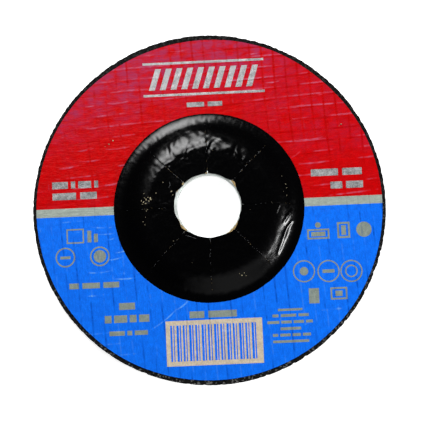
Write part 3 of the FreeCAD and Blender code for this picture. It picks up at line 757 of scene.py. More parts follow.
class OBJECT_OT_disc_body(bpy.types.Operator):
    """Adds the moulded body, with its grit and the net in its grinding face"""

    bl_idname = "object.disc_body"
    bl_label = "Moulded body"

    def execute(self, context):
        relief = context.scene.relief_sizes
        profile = body_profile()
        angle = np.linspace(0, 2 * math.pi, BODY_COLUMNS, endpoint=False)
        along = np.roll(profile, -1, axis=0) - np.roll(profile, 1, axis=0)
        normal = np.column_stack([-along[:, 1], along[:, 0]]) / np.linalg.norm(along, axis=1)[:, None]
        radius, height, out, up = np.repeat(np.hstack([profile, normal]), BODY_COLUMNS, axis=0).T
        turn = np.tile(angle, len(profile))
        x, y = radius * np.cos(turn), radius * np.sin(turn)
        grain, distance = grain_field(np.column_stack([x, y, height]), relief.grit, 11)
        bumps = relief.grit_height * (grain - 0.55 + 0.5 * (0.6 - distance))
        under_label = (height > RIM_LEVEL - 0.2 * MM) & (radius < LABEL_RADIUS - 1.1 * MM)
        covered = under_label | (radius < RING_REACH + 0.5 * MM)
        net = glass_net(x, y, relief) * np.where(covered, 0.0, step(-up, 0.5, 0.9))
        net *= step(soft_noise(x, y, 5 * MM, 12), -0.9, 0.2)
        raised = bumps * np.where(covered, 0.15, 1.0) * (1 - 0.7 * net) + 0.1 * MM * net
        reach = radius - self.chips(x, y, radius, height, turn) + out * raised
        points = np.column_stack([reach * np.cos(turn), reach * np.sin(turn), height + up * raised])
        points[:, 2] = np.maximum(points[:, 2], 0)
        reached = np.maximum(np.hypot(points[:, 0], points[:, 1]), DISC_RADIUS)
        points[:, :2] *= (DISC_RADIUS / reached)[:, None]
        shape = points, round_faces(len(profile), BODY_COLUMNS)[:, ::-1], []
        # Weight of the painted glint on the grit: strongest round 280 degrees, at the disc's lower edge,
        # faint elsewhere
        bare = 0.15 + 0.85 * bell((turn - math.radians(280)) / math.radians(70), 1)
        finish_piece("moulded_body", shape, bonded_grit(context.scene.disc_colours), "abrasive",
                     ["abrasive_disc"], net=net, bare=bare)
        return {"FINISHED"}

    def chips(self, x, y, radius, height, turn):
        """How deep the edge is chipped: noise, stronger at the lower right, and none under the label."""
        chipped = soft_noise(x + 0.15 * height, y, 0.75 * MM, 13)
        lower_right = bell((turn - math.radians(312)) / math.radians(45), 1)
        chips = 0.16 * MM * (1 + 1.4 * lower_right) * np.clip(0.2 + chipped, 0, 1.2)
        return chips * step(radius, LABEL_RADIUS - 0.2 * MM, DISC_RADIUS - EDGE_ROUND)


class OBJECT_OT_disc_ring(bpy.types.Operator):
    """Adds the pressed steel ring in the bore, with rolled bends at both ends"""

    bl_idname = "object.disc_ring"
    bl_label = "Steel ring"

    COLUMNS = 288
    CORNER = 0.15 * MM
    STRAIGHT = 1.6 * MM

    def execute(self, context):
        sizes = context.scene.disc_sizes
        wall, bend = sizes.ring_wall, sizes.ring_wall * 0.8
        back, lip = BORE_RADIUS + wall, BORE_RADIUS + sizes.ring_lip
        quarter = np.linspace(0, math.pi / 2, 7)
        fall, rise = bend * (1 - np.cos(quarter)), bend * (1 - np.sin(quarter))
        section = np.vstack([
            np.column_stack([BORE_RADIUS + fall, NUT_SEAT + rise]),
            [(RING_REACH - self.CORNER, NUT_SEAT), (RING_REACH, NUT_SEAT + self.CORNER)],
            [(RING_REACH, NUT_SEAT + wall), (back, NUT_SEAT + wall), (back, HUB_LEVEL - wall)],
            [(lip, HUB_LEVEL - wall), (lip, HUB_LEVEL - self.CORNER), (lip - self.CORNER, HUB_LEVEL)],
            np.column_stack([BORE_RADIUS + rise, HUB_LEVEL - fall]),
            [(BORE_RADIUS, HUB_LEVEL - self.STRAIGHT), (BORE_RADIUS, NUT_SEAT + self.STRAIGHT)]])
        angle = np.linspace(0, 2 * math.pi, self.COLUMNS, endpoint=False)
        radius, height = section.T[:, :, None]
        points = np.stack([radius * np.cos(angle), radius * np.sin(angle), height + 0 * angle], axis=-1)
        shape = points.reshape(-1, 3), round_faces(len(section), self.COLUMNS), []
        finish_piece("steel_ring", shape, plated_steel(context.scene.disc_colours), "ring_steel",
                     ["bore_ring"])
        return {"FINISHED"}


# The print on the flat of the label

FIELD_ROWS = 126
FIELD_COLUMNS = 690

# How far a mark lies above the field that it is printed on
MARK_LIFT = 0.03 * MM


def upwards(x, y):
    """Whether a grid's faces look up: the way from row to row lies left of that from column to column."""
    row_x, row_y = x[-1, 0] - x[0, 0], y[-1, 0] - y[0, 0]
    column_x, column_y = x[0, 1] - x[0, 0], y[0, 1] - y[0, 0]
    return column_x * row_y - column_y * row_x > 0


def add_print(name, grids, lift, material, slot, nodes, base=RIM_LEVEL):
    """One piece of print from grids of (x, y), each a closed sheet that follows the label's relief.

    It lies at a lift above the film's underside, and its own underside is level, at a base.
    """
    parts, creases, hazes = [], [], []
    for x, y in grids:
        if not upwards(x, y):
            x, y = x[:, ::-1], y[:, ::-1]
        height, crease, haze = net_relief(x, y, bpy.context.scene.relief_sizes)
        folds = crease_relief(x, y)
        top = np.stack([x, y, FILM_LOW + lift + height + CREASE_HEIGHT * folds], axis=-1)
        under = top[[0, -1]]
        under[..., 2] = base
        parts.append(sheet(top, under))
        # At each point: the painted highlight and shade of ridges, valleys and folds, and the painted sheen
        for values, all_values in ((crease + folds, creases), (haze, hazes)):
            all_values.extend([values.ravel(), values[0], values[-1]])
    finish_piece(name, join(parts), material, slot, nodes,
                 crease=np.concatenate(creases), haze=np.concatenate(hazes))


def add_marks(name, grids, material, slot, node, lift=MARK_LIFT):
    """One piece of print that lies on a field."""
    add_print(name, grids, lift, material, slot, [node], FILM_LOW)


def field_grid(upper):
    """The red field (upper) or the blue field, as rows of arcs from the hub out to the label's edge.

    Each arc's ends lie on the band's edge, so that the edge is straight.
    """
    inner = bpy.context.scene.disc_sizes.field_radius
    out, turn = parameters((0, 1, FIELD_ROWS), (0, 1, FIELD_COLUMNS))
    radius = inner + (LABEL_RADIUS - inner) * out
    start = np.arcsin((BAND_HIGH if upper else -BAND_LOW) / radius)
    angle = start + (math.pi - 2 * start) * turn + (0 if upper else math.pi)
    radius = inner + (label_edge(angle) - inner) * out
    return radius * np.cos(angle), radius * np.sin(angle)


class OBJECT_OT_disc_fields(bpy.types.Operator):
    """Adds the red and the blue field of the label"""

    bl_idname = "object.disc_fields"
    bl_label = "Red and blue fields"

    def execute(self, context):
        colours = context.scene.disc_colours
        add_print("red_field", [field_grid(True)], 0, red_ink(colours), "red_ink",
                  ["red_print", "label_sheet"])
        add_print("blue_field", [field_grid(False)], 0, blue_ink(colours), "blue_ink",
                  ["blue_print", "label_sheet"])
        return {"FINISHED"}


class OBJECT_OT_disc_band(bpy.types.Operator):
    """Adds the two halves of the silver band"""

    bl_idname = "object.disc_band"
    bl_label = "Silver band"

    def execute(self, context):
        inner = context.scene.disc_sizes.field_radius
        across, along = parameters((BAND_LOW, BAND_HIGH, 15), (0, 1, 130))
        start, end = (np.sqrt(reach ** 2 - across ** 2) for reach in (inner, LABEL_RADIUS))
        x = start + (end - start) * along
        add_print("silver_band", [(x, across), (-x, across)], 0, silver_ink(context.scene.disc_colours),
                  "silver_ink", ["silver_print", "label_sheet"])
        return {"FINISHED"}


# The marks are drawn in millimetres, as grids of points about this far apart
MARK_SPACING = 0.22


def spaced(length, least=3):
    """How many points a mark's grid has along a length."""
    return max(least, int(length / MARK_SPACING) + 2)


def bar(left, right, low, high, lean=0.0):
    """A straight bar, its upper side shifted by a lean."""
    across, along = parameters((0, 1, spaced(high - low)), (left, right, spaced(right - left)))
    return (along + lean * across) * MM, (low + (high - low) * across) * MM


def ring_mark(middle_x, middle_y, radius, line):
    """A plain ring: its outer radius, and the width of its line. It meets itself at one seam."""
    columns = int(2 * math.pi * radius / MARK_SPACING) + 8
    reach, turn = parameters((radius - line, radius, spaced(line)), (0, 2 * math.pi, columns))
    return (middle_x + reach * np.cos(turn)) * MM, (middle_y + reach * np.sin(turn)) * MM


def dot_mark(middle_x, middle_y, radius):
    """A round dot: the square grid from -1 to 1 is drawn in so that its edge becomes the circle."""
    side = (-1, 1, spaced(2 * radius, 4))
    u, v = parameters(side, side)
    x, y = v * np.sqrt(1 - u * u / 2), u * np.sqrt(1 - v * v / 2)
    return (middle_x + radius * x) * MM, (middle_y + radius * y) * MM


def frame_mark(left, right, low, high, line):
    """An open rectangle as four bars that meet at its corners."""
    return [bar(left, right, low, low + line), bar(left, right, high - line, high),
            bar(left, left + line, low + line, high - line),
            bar(right - line, right, low + line, high - line)]


def dashes(left, low, height, lengths, gap):
    """A line of plain dashes in place of words, from the left."""
    marks = []
    for length in lengths:
        marks.append(bar(left, left + length, low, low + height))
        left += length + gap
    return marks


class OBJECT_OT_disc_rules(bpy.types.Operator):
    """Adds the two silver rules and the row of slanted bars between them"""

    bl_idname = "object.disc_rules"
    bl_label = "Rules and bars"

    def execute(self, context):
        sizes = context.scene.disc_sizes
        width, height, pitch, spacing, line, half = (length / MM for length in (
            sizes.bar_width, sizes.bar_height, sizes.bar_pitch, sizes.rule_spacing, sizes.rule_width,
            sizes.rule_length / 2))
        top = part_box("silver_print")[1].y / MM - line
        rules = [bar(-half, half, level, level + line) for level in (top, top - spacing)]
        foot = top - (spacing - line + height) / 2
        lean = height * math.tan(sizes.bar_slant)
        left = -((sizes.bar_count - 1) * pitch + width + lean) / 2
        bars = [bar(left + i * pitch, left + i * pitch + width, foot, foot + height, lean)
                for i in range(sizes.bar_count)]
        bright = mark_ink("bright silver", context.scene.disc_colours.marks)
        add_marks("silver_rules", rules, bright, "silver_ink", "silver_print")
        add_marks("slanted_bars", bars, bright, "silver_ink", "silver_print")
        return {"FINISHED"}


class OBJECT_OT_disc_panel(bpy.types.Operator):
    """Adds the pale panel and the blue stripes over it"""

    bl_idname = "object.disc_panel"
    bl_label = "Pale panel"

    # Width of each stripe in turn, as a share of the distance to the next one
    SHARES = (0.55, 0.3, 0.7, 0.4)

    def execute(self, context):
        sizes, colours = context.scene.disc_sizes, context.scene.disc_colours
        left, low, right, high = (
            length / MM for length in (PANEL_LOW.x, PANEL_LOW.y, PANEL_HIGH.x, PANEL_HIGH.y))
        add_marks("cream_panel", [bar(left, right, low, high)], cream_ink(colours), "pale_ink", "panel_print")
        margin = sizes.stripe_margin / MM
        left, low, right, high = left + margin, low + margin, right - margin, high - margin
        shares = self.SHARES * sizes.stripe_count
        pitch = (right - left) / len(shares)
        starts = [left + number * pitch for number in range(len(shares))]
        stripes = [bar(start, start + share * pitch, low, high) for start, share in zip(starts, shares)]
        add_marks("panel_stripes", stripes, blue_ink(colours), "blue_ink", "blue_print", 2 * MARK_LIFT)
        return {"FINISHED"}


# Lines of dashes in place of words: left, low, height, lengths, gap, in millimetres
RED_LINES = [
    (-55.4, 8.9, 2.5, (5.6, 1.5, 4.6, 1.4), 1.1),
    (-55.4, 4.9, 2.5, (8.4, 5.9), 1.5),
    (36.6, 9.4, 2.5, (9.6, 6.9), 1.5),
    (43.3, 4.7, 2.5, (4.2, 6.0), 1.3),
    (-6.4, 36.4, 1.7, (6.2, 5.2), 1.3),
]
BLUE_LINES = [
    (-50.3, -26.9, 2.0, (3.4, 6.2, 5.6), 1.2),
    (-33.0, -34.9, 2.4, (5.6,), 1.0),
    (-38.2, -39.4, 2.6, (2.4, 4.6, 2.4, 3.6), 0.9),
    (-36.7, -43.9, 1.6, (5.4, 1.7, 4.6), 0.9),
    (-8.4, -38.9, 2.4, (5.2, 10.0), 1.4),
    (22.6, -37.7, 0.8, (8.6,), 1.0),
    (20.6, -39.8, 1.0, (2.1, 5.4, 3.6), 0.8),
    (18.7, -42.1, 1.0, (4.2, 3.6, 3.6, 2.4), 0.7),
    (23.2, -44.4, 1.0, (7.2,), 1.0),
    (20.4, -46.6, 1.0, (1.9, 3.6, 2.9, 2.8), 0.7),
    (20.4, -48.8, 0.9, (12.6,), 1.0),
]


def plain_signs():
    """Plain rings, dots, frames and blocks where the label has small signs."""
    return [
        *frame_mark(34.2, 42.0, -13.0, -9.4, 0.6), bar(35.6, 40.6, -12.0, -10.4), dot_mark(38.1, -8.0, 1.0),
        *frame_mark(44.8, 49.3, -13.0, -7.3, 0.7), bar(46.2, 47.9, -11.9, -8.5),
        dot_mark(54.2, -10.2, 2.7),
        ring_mark(32.4, -24.1, 3.9, 0.45), dot_mark(32.4, -24.1, 1.5),
        ring_mark(41.0, -24.4, 3.9, 0.45), bar(38.9, 43.1, -25.0, -23.8),
        ring_mark(49.0, -24.7, 3.9, 0.45), ring_mark(49.0, -24.7, 2.2, 0.45),
        bar(33.7, 37.3, -35.5, -30.2),
        *frame_mark(41.3, 47.2, -34.5, -30.2, 0.6), bar(43.0, 45.5, -33.3, -31.4),
        *frame_mark(-50.8, -44.6, -10.8, -5.6, 0.5), bar(-43.4, -42.0, -10.6, -6.4),
        bar(-41.1, -39.7, -10.6, -7.6),
        ring_mark(-51.4, -15.6, 3.5, 0.5), bar(-53.2, -49.6, -16.2, -15.2),
        ring_mark(-39.2, -15.7, 3.5, 0.5), dot_mark(-39.2, -15.7, 2.2),
    ]


class OBJECT_OT_disc_marks(bpy.types.Operator):
    """Adds the small plain marks of the red and the blue field"""

    bl_idname = "object.disc_marks"
    bl_label = "Small marks"

    def execute(self, context):
        colours = context.scene.disc_colours
        dull, faded = mark_ink("dull silver", scaled(colours.marks, 0.68)), faded_ink(colours)
        red_dashes = [mark for line in RED_LINES for mark in dashes(*line)]
        blue_dashes = [mark for line in BLUE_LINES for mark in dashes(*line)]
        for name, grids, material in (("red_field_dashes", red_dashes, dull),
                                      ("blue_field_dashes", blue_dashes, faded),
                                      ("plain_signs", plain_signs(), faded)):
            add_marks(name, grids, material, "silver_ink", "silver_print")
        return {"FINISHED"}


# The hub's black paper

PETAL_ROWS = 104
PETAL_COLUMNS = 84

# The rows of a petal's upper face that its underside repeats
UNDER_ROWS = np.linspace(0, PETAL_ROWS - 1, 18).astype(int)

# How strongly the paper is crumpled in each petal, and in millimetres how far it bulges towards its two
# sides and how much these lift
PETAL_CRUMPLES = (0.3, 0.8, 0.7, 0.22, 0.3, 0.3, 0.2, 0.25)
PETAL_BULGES = ((0, 0), (0, 0.2), (0, 0), (0.45, 0), (0, 0), (0, 0), (0, 0), (0, 0))
SIDE_LIFTS = ((0.02, 0.05), (0, -0.05), (0.06, 0.09), (-0.06, 0),
              (0, 0), (0.03, 0.02), (0, 0.02), (0.03, 0.02))

# Straight folds in the hub's paper: start and end, height and width, in millimetres
HUB_FOLDS = [
    (24.9, -0.3, 23.4, -3.8, 0.15, 0.35), (29.1, -2.5, 25.8, -7.1, 0.14, 0.5),
    (29.4, -6.0, 27.2, -8.7, 0.12, 0.45), (27.2, -8.7, 25.6, -12.6, 0.17, 0.6),
    (25.6, -12.6, 23.3, -18.3, 0.12, 0.6), (16.5, 13.5, 14.8, 10.6, 0.03, 0.4),
    (1.3, 27.9, 8.1, 20.8, 0.14, 1.1), (8.1, 20.8, 13.2, 16.6, 0.08, 0.9),
]


def fold_relief(x, y):
    """Height of the hub's folds: each is a bell curve across a straight line, fading at its ends."""
    height = np.zeros(x.shape)
    for start_x, start_y, end_x, end_y, rise, width in HUB_FOLDS:
        direction_x, direction_y = end_x - start_x, end_y - start_y
        length = math.hypot(direction_x, direction_y)
        ahead = ((x / MM - start_x) * direction_x + (y / MM - start_y) * direction_y) / length ** 2
        across = ((y / MM - start_y) * direction_x - (x / MM - start_x) * direction_y) / length
        inside = step(ahead, -0.15, 0.2) * step(-ahead, -1.15, -0.8)
        height += rise * MM * bell(across, width) * inside
    return height


def towards_hole(radius):
    """How far a cut is open at a radius: 0 at its end, 1 from a little farther in."""
    slit_end = bpy.context.scene.disc_sizes.slit_end
    return step(-radius, -slit_end, -slit_end + 6 * MM)


def hub_relief(x, y, radius, turn, petal, share):
    """Height of the crumpled black paper over the hub's line, and where it is crumpled.

    Swirling crumples over the crown, fine pleats across the hollow, folds, and sides that lift at the cuts.
    """
    sizes, relief = bpy.context.scene.disc_sizes, bpy.context.scene.relief_sizes
    aside = 1.3 * MM * soft_noise(x, y, 2.8 * MM, 21)
    ahead = 1.3 * MM * soft_noise(x, y, 2.8 * MM, 22)
    large = soft_noise(x + aside, y + ahead, 2.3 * MM, 23)
    small = soft_noise(x + aside, y + ahead, 1.0 * MM, 24)
    crown = step(radius, 18 * MM, 20.5 * MM) * step(-radius, -28.5 * MM, -26 * MM)
    height = relief.crumple * PETAL_CRUMPLES[petal] * crown * (0.5 * large + 0.45 * small - 0.4)
    near_bulge, far_bulge = PETAL_BULGES[petal]
    height += (near_bulge + (far_bulge - near_bulge) * share) * MM * bell(radius - 25.5 * MM, 2.6 * MM)
    inner = (1 - crown) * step(-radius, -24 * MM, -20 * MM)
    height += 0.05 * MM * inner * (0.5 * large + 0.3 * small - 0.6)
    hollow = bell(radius - 30.8 * MM, 2.0 * MM)
    pleats = 0.7 * soft_noise(turn * sizes.foot_radius, radius * 0.5, 0.6 * MM, 25)
    pleats = pleats + 0.8 * soft_noise(turn * sizes.foot_radius, radius, 1.2 * MM, 26)
    height += 0.03 * MM * hollow * pleats
    from_cut = np.minimum(share, 1 - share) * radius * 2 * math.pi / sizes.slit_count
    lift = np.where(share < 0.5, *SIDE_LIFTS[petal])
    height += MM * bell(from_cut, 0.9 * MM) * towards_hole(radius) * lift
    return height + fold_relief(x, y), np.maximum(crown * step(radius, 20 * MM, 23 * MM), hollow)


def cut_side(radius, number, side):
    """Angle of a cut's side in the label at each radius: 1 asks for the side ahead, -1 for the other."""
    sizes = bpy.context.scene.disc_sizes
    lane = (number % sizes.slit_count) * 7 * MM
    wander = 0.14 * MM * soft_noise(radius, lane, 2.5 * MM, 28)
    uneven = 0.85 + 0.6 * soft_noise(radius, lane, 1.3 * MM, 29)
    gap = np.maximum(sizes.slit_width / 2 * towards_hole(radius) * uneven, 0)
    return number * 2 * math.pi / sizes.slit_count + (wander + side * gap) / radius


# Where the hole in the label reaches farther out: direction and spread in degrees, depth in millimetres
TEARS = [(176, 34, 0.75), (40, 7, 0.85), (-46, 15, 0.8), (-142, 8, 0.7), (155, 6, 0.5), (91.5, 2, 0.3)]


def hole_radius(angle):
    """Radius of the ragged hole in the label, which bares the ring's lip at the left and at the tears."""
    ragged = soft_noise(2 * BORE_RADIUS * np.cos(angle), 2 * BORE_RADIUS * np.sin(angle), 1.6 * MM, 27)
    hole = bpy.context.scene.disc_sizes.label_hole + 0.1 * MM * ragged + 0.12 * MM * np.sin(angle)
    return hole + bells_round(angle, TEARS)


class OBJECT_OT_disc_hub(bpy.types.Operator):
    """Adds the black paper over the hub, one petal from each cut to the next"""

    bl_idname = "object.disc_hub"
    bl_label = "Black hub paper"

    def execute(self, context):
        sizes = context.scene.disc_sizes
        outer = sizes.field_radius + 0.05 * MM
        out, share = parameters((0, 1, PETAL_ROWS), (0, 1, PETAL_COLUMNS))
        parts, values = [], []
        for petal in range(sizes.slit_count):
            hole = hole_radius((petal + share) * 2 * math.pi / sizes.slit_count)
            radius = hole + (outer - hole) * out
            near, far = cut_side(radius, petal, 1), cut_side(radius, petal + 1, -1)
            turn = near + (far - near) * share
            x, y = radius * np.cos(turn), radius * np.sin(turn)
            relief, crumpled = hub_relief(x, y, radius, turn, petal, share)
            height = np.minimum(hub_line(radius, PAPER) + relief, LABEL_TOP - 0.01 * MM)
            top = np.stack([x, y, height], axis=-1)[:, ::-1]
            under = np.stack([x, y, hub_line(radius, 0) - 0.05 * MM], axis=-1)[UNDER_ROWS, ::-1]
            parts.append(sheet(top, under))
            crumpled = crumpled[:, ::-1]
            values += [crumpled.ravel(), crumpled[UNDER_ROWS].ravel()]
        finish_piece("hub_paper", join(parts), black_gloss(context.scene.disc_colours), "label_black",
                     ["label_sheet"], crumple=np.concatenate(values))
        return {"FINISHED"}


# Torn paper and crumbs

# Strips of torn paper at the hole and hairs on the label: points along each and its width, in millimetres
STRIPS = [
    ([(8.0, 9.2, 8.66), (8.9, 8.2, 8.72), (9.4, 7.2, 8.72), (9.8, 6.3, 8.66)], 0.55),
    ([(8.6, 8.9, 8.73), (9.3, 8.2, 8.74), (9.6, 7.6, 8.72)], 0.35),
    ([(10.4, -5.2, 8.66), (10.0, -6.2, 8.7), (9.3, -7.3, 8.72), (8.2, -8.4, 8.7), (6.9, -9.4, 8.66)], 0.45),
    ([(9.3, -7.9, 8.74), (8.3, -8.9, 8.74), (7.2, -9.6, 8.73), (5.9, -10.1, 8.66)], 0.4),
    ([(-10.9, -4.2, 8.66), (-10.5, -5.6, 8.71), (-9.9, -6.7, 8.7)], 0.4),
    ([(-10.0, -6.4, 8.72), (-9.4, -7.3, 8.74), (-8.6, -8.0, 8.7)], 0.75),
    ([(-9.7, -7.3, 8.74), (-8.8, -7.9, 8.74), (-7.9, -8.4, 8.7)], 0.5),
    ([(-0.45, 11.3, 8.72), (-0.35, 11.7, 8.75), (-0.3, 12.2, 8.75)], 0.45),
    ([(-9.2, 7.4, 8.7), (-8.9, 8.0, 8.74), (-8.4, 8.5, 8.74)], 0.5),
    ([(-10.9, 5.2, 8.7), (-10.7, 5.9, 8.74), (-10.2, 6.6, 8.72)], 0.3),
    ([(-2.9, -11.1, 8.66), (-1.6, -11.35, 8.68), (0.2, -11.4, 8.66)], 0.25),
]
HAIRS = [
    ([(-9.7, -9.5, 8.76), (-8.4, -10.1, 8.77), (-6.9, -10.6, 8.77), (-4.8, -11.4, 8.77), (-2.8, -12.1, 8.76)],
     0.12),
    ([(-13.8, 6.9, 8.76), (-13.2, 8.0, 8.77), (-13.5, 9.2, 8.77)], 0.1),
]

# Crumbs on the label: x, y and length in millimetres
CRUMBS = [
    (-21.9, 3.2, 0.9), (-20.3, 3.4, 1.2), (-20.0, 3.1, 0.6), (-22.8, 2.3, 0.8), (-23.5, 2.9, 0.6),
    (-22.1, 1.8, 0.8), (-21.2, 3.9, 0.7), (-22.4, 3.8, 0.5), (-20.9, 2.6, 0.5), (-23.2, 1.6, 0.5),
    (-12.9, 5.6, 0.7), (-12.4, 4.4, 0.5), (-21.5, -0.4, 0.5), (-21.9, -0.9, 0.4), (-22.5, 5.3, 0.5),
    (-18.3, 5.3, 0.5), (-15.7, 9.0, 0.4), (-22.6, -5.7, 0.5), (-23.2, -4.6, 0.4), (-22.3, -3.1, 0.35),
    (10.5, -24.8, 0.7), (12.0, -24.9, 0.5), (9.8, -24.1, 0.35), (11.4, -24.0, 0.4), (26.2, 9.7, 0.35),
    (27.4, 6.8, 0.5), (27.6, 5.4, 0.35), (26.5, 4.1, 0.3), (27.6, 2.8, 0.4), (-33.2, 25.5, 0.7),
    (-34.7, 24.3, 0.6), (-36.1, 23.4, 0.4), (48.2, 27.7, 0.7), (47.5, 27.1, 0.4), (2.2, 19.6, 0.3),
    (-6.6, -19.8, 0.3), (14.5, -2.1, 0.3), (-12.8, -11.9, 0.35),
]

# Fibres in each cut, and the share of them that is pale and tan
FIBRES_IN_CUTS = (10, 34, 12, 26, 8, 22, 12, 30)
PALE_SHARE, TAN_SHARE = 0.65, 0.35


def label_height(x, y):
    """Height of the label's smooth face."""
    radius = np.hypot(x, y)
    return np.where(radius < bpy.context.scene.disc_sizes.field_radius, hub_line(radius, PAPER), FILM_HIGH)


class OBJECT_OT_disc_crumbs(bpy.types.Operator):
    """Adds the torn paper at the hole, the fibres in the cuts and the crumbs on the label"""

    bl_idname = "object.disc_crumbs"
    bl_label = "Torn paper and crumbs"

    # How much wider than their paths' widths the torn strips are
    STRIP_FLARE = 1.3

    STRIP_THICKNESS = 0.09 * MM
    HAIR_THICKNESS = 0.04 * MM

    def execute(self, context):
        sizes, colours = context.scene.disc_sizes, context.scene.disc_colours
        torn, pale, tan, crumb = (raw_fibre(name, colour) for name, colour in (
            ("torn paper", colours.torn), ("pale fibre", colours.pale_fibre),
            ("tan fibre", colours.tan_fibre), ("crumb", colours.crumb)))
        random = np.random.default_rng(33)
        for name, shape, material in (
                ("torn_strips", self.strands(STRIPS, self.STRIP_FLARE, self.STRIP_THICKNESS), torn),
                ("hairs", self.strands(HAIRS, 1, self.HAIR_THICKNESS), pale),
                ("crumbs", self.crumbs(), crumb),
                ("pale_fibres", self.fibres(sizes, random, PALE_SHARE), pale),
                ("tan_fibres", self.fibres(sizes, random, TAN_SHARE), tan)):
            finish_piece(name, shape, material, "label_black", ["label_sheet"])
        return {"FINISHED"}

    def strands(self, paths, flare, thickness):
        """Strands along several paths as one shape."""
        return join(strand(np.array(path) * MM, flare * width * MM, thickness) for path, width in paths)

    def crumbs(self):
        """Crumbs at their places on the label."""
        x, y, length = np.array(CRUMBS).T * MM
        draw = np.random.default_rng(31).random((3, len(x)))
        size = length, length * (0.5 + 0.3 * draw[0]), 0.3 * length
        return lumps(x, y, label_height(x, y) + 0.03 * MM, size, draw[1] * math.pi, 32)

    def fibres(self, sizes, random, share):
        """Short fibres along each cut, denser in the slanting ones."""
        rows = []
        for number, count in enumerate(FIBRES_IN_CUTS):
            along = random.uniform(12.2, sizes.slit_end / MM - 0.5, int(count * share) + 1) * MM
            middle = (cut_side(along, number, 1) + cut_side(along, number, -1)) / 2
            rows.append(np.column_stack([along, middle + random.normal(0, 0.1 * MM, len(along)) / along]))
        radius, angle = np.vstack(rows).T
        x, y = radius * np.cos(angle), radius * np.sin(angle)
        draw = random.random((3, len(x)))
        size = (0.25 + 0.45 * draw[0]) * MM, (0.09 + 0.09 * draw[1]) * MM, np.full(len(x), 0.12 * MM)
        return lumps(x, y, label_height(x, y) - 0.03 * MM, size, angle + (draw[2] - 0.5) * 1.6, 34)


# The stage

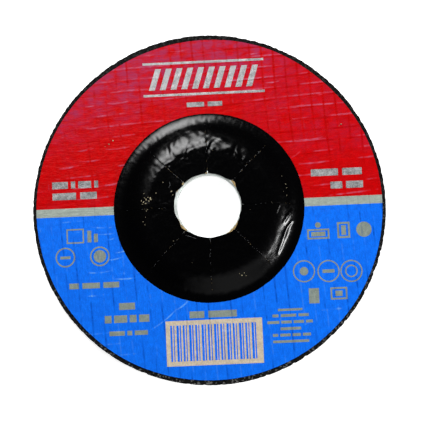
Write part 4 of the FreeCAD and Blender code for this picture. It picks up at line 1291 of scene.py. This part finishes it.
class OBJECT_OT_disc_stage(bpy.types.Operator):
    """Adds the floor, the lamps and the camera"""

    bl_idname = "object.disc_stage"
    bl_label = "Stage"

    # The picture's side, and how far the disc's centre lies off its middle
    FRAME_PIXELS = 425
    LEFT_PIXELS, UP_PIXELS = 3.25, 3.65

    FLOOR_REACH = 3.0
    FLOOR_LEVEL = -0.02 * MM

    # The round lamps of a soft light: their sizes as shares of the first one, and how they stand
    LAMP_SHARES = (1.0, 0.8, 0.6, 0.35)
    LAMP_DISTANCE, LAMP_STEP = 0.62, 0.01

    def execute(self, context):
        studio = context.scene.studio_settings
        self.add_floor(context, studio)
        self.add_camera(context, studio)
        self.add_lamps(context, studio)
        world = bpy.data.worlds.new("studio air")
        world.use_nodes = True
        air = world.node_tree.nodes["Background"].inputs
        air["Color"].default_value = (0.9, 0.95, 1.0, 1.0)
        air["Strength"].default_value = 0.01
        context.scene.world = world
        context.scene.view_settings.view_transform = "Standard"
        return {"FINISHED"}

    def add_floor(self, context, studio):
        """A level floor just under the disc, which the camera and mirrors see white but for the shadow."""
        mesh = bpy.data.meshes.new("floor")
        corners = ((-1, -1), (1, -1), (1, 1), (-1, 1))
        points = [(x * self.FLOOR_REACH, y * self.FLOOR_REACH, self.FLOOR_LEVEL) for x, y in corners]
        mesh.from_pydata(points, [], [(0, 1, 2, 3)])
        finish = Finish("floor", studio.floor_colour, Roughness=0.9, Specular_IOR_Level=0.1,
                        Emission_Color=(1, 1, 1, 1))
        path = finish.add("ShaderNodeLightPath").outputs
        seen = finish.math("MAXIMUM", path["Is Camera Ray"], path["Is Glossy Ray"])
        seen = finish.math("MAXIMUM", seen, path["Is Transmission Ray"])
        finish.feed("Emission Strength", finish.math("MULTIPLY", seen, 0.9))
        mesh.materials.append(finish.material)
        floor = bpy.data.objects.new("floor", mesh)
        context.scene.collection.objects.link(floor)

    def add_camera(self, context, studio):
        """The camera leans a little to the picture's right and lower edge, turned against the print."""
        to_right, to_low = math.sin(studio.camera_side), math.sin(studio.camera_lean)
        turn = Matrix.Rotation(-studio.print_turn, 3, "Z")
        back = turn @ Vector((to_right, -to_low, math.sqrt(1 - to_right ** 2 - to_low ** 2)))
        right = (turn @ Vector((0, 1, 0))).cross(back).normalized()
        data = bpy.data.cameras.new("camera")
        data.sensor_width = 36.0
        data.lens = studio.lens
        data.shift_x = self.LEFT_PIXELS / self.FRAME_PIXELS
        data.shift_y = -self.UP_PIXELS / self.FRAME_PIXELS
        data.clip_start = 0.01
        camera = bpy.data.objects.new("camera", data)
        axes = Matrix((right, back.cross(right), back)).transposed().to_4x4()
        camera.matrix_world = Matrix.Translation(back * studio.camera_distance) @ axes
        context.scene.collection.objects.link(camera)
        context.scene.camera = camera

    def add_lamps(self, context, studio):
        """A softbox up and to the left, a low strip at the right and a faint card in front.

        The softbox and the card are each a few round lamps one before another, of the same brightness, so
        that they are brighter in their middle.
        """
        whole = sum(share ** 2 for share in self.LAMP_SHARES)
        for name, power, (width, depth), azimuth, from_above in (
                ("softbox", studio.key_power, (0.31, 0.6), 111, 43),
                ("low card", studio.card_power, (0.8, 0.5), -72, 54)):
            for number, share in enumerate(self.LAMP_SHARES):
                self.add_lamp(context, name, power * share ** 2 / whole, (width * share, depth * share),
                              self.LAMP_DISTANCE - self.LAMP_STEP * number, azimuth, from_above, "ELLIPSE")
        self.add_lamp(context, "side strip", studio.side_power, (0.3, 0.07), self.LAMP_DISTANCE, -18, 66,
                      "RECTANGLE")

    def add_lamp(self, context, name, power, size, distance, azimuth, from_above, shape):
        """A flat lamp that faces the disc's centre from a direction in the picture's frame, in degrees."""
        turn = math.radians(azimuth) - context.scene.studio_settings.print_turn
        tilt = math.radians(from_above)
        direction = Vector((math.cos(turn) * math.sin(tilt), math.sin(turn) * math.sin(tilt), math.cos(tilt)))
        data = bpy.data.lights.new(name, "AREA")
        data.shape = shape
        data.size, data.size_y = size
        data.energy = power
        lamp = bpy.data.objects.new(name, data)
        lamp.location = direction * distance
        lamp.rotation_mode = "QUATERNION"
        lamp.rotation_quaternion = direction.to_track_quat("Z", "Y")
        context.scene.collection.objects.link(lamp)


class VIEW3D_PT_disc(bpy.types.Panel):
    """The disc's settings and the buttons that add its pieces"""

    bl_label = "Grinding disc"
    bl_idname = "VIEW3D_PT_disc"
    bl_space_type = "VIEW_3D"
    bl_region_type = "UI"
    bl_category = "Disc"

    def draw(self, context):
        for word, kind in SETTINGS.items():
            box = self.layout.box()
            box.label(text=word.replace("_", " ").capitalize())
            for name in kind.__annotations__:
                box.prop(getattr(context.scene, word), name)
        for operator in OPERATORS:
            self.layout.operator(operator.bl_idname)


SETTINGS = {
    "disc_sizes": DiscSizes,
    "relief_sizes": ReliefSizes,
    "disc_colours": DiscColours,
    "studio_settings": StudioSettings,
}
OPERATORS = (
    OBJECT_OT_disc_stage, OBJECT_OT_disc_body, OBJECT_OT_disc_ring, OBJECT_OT_disc_hub,
    OBJECT_OT_disc_fields, OBJECT_OT_disc_band, OBJECT_OT_disc_rules, OBJECT_OT_disc_panel,
    OBJECT_OT_disc_marks, OBJECT_OT_disc_crumbs,
)
CLASSES = (*SETTINGS.values(), *OPERATORS, VIEW3D_PT_disc)


def register():
    for kind in CLASSES:
        bpy.utils.register_class(kind)
    for word, kind in SETTINGS.items():
        setattr(bpy.types.Scene, word, bpy.props.PointerProperty(type=kind))


def unregister():
    for word in SETTINGS:
        delattr(bpy.types.Scene, word)
    for kind in reversed(CLASSES):
        bpy.utils.unregister_class(kind)


def main():
    register()
    for operator in OPERATORS:
        group_name, call = operator.bl_idname.split(".")
        getattr(getattr(bpy.ops, group_name), call)()


if __name__ == "__main__":
    main()
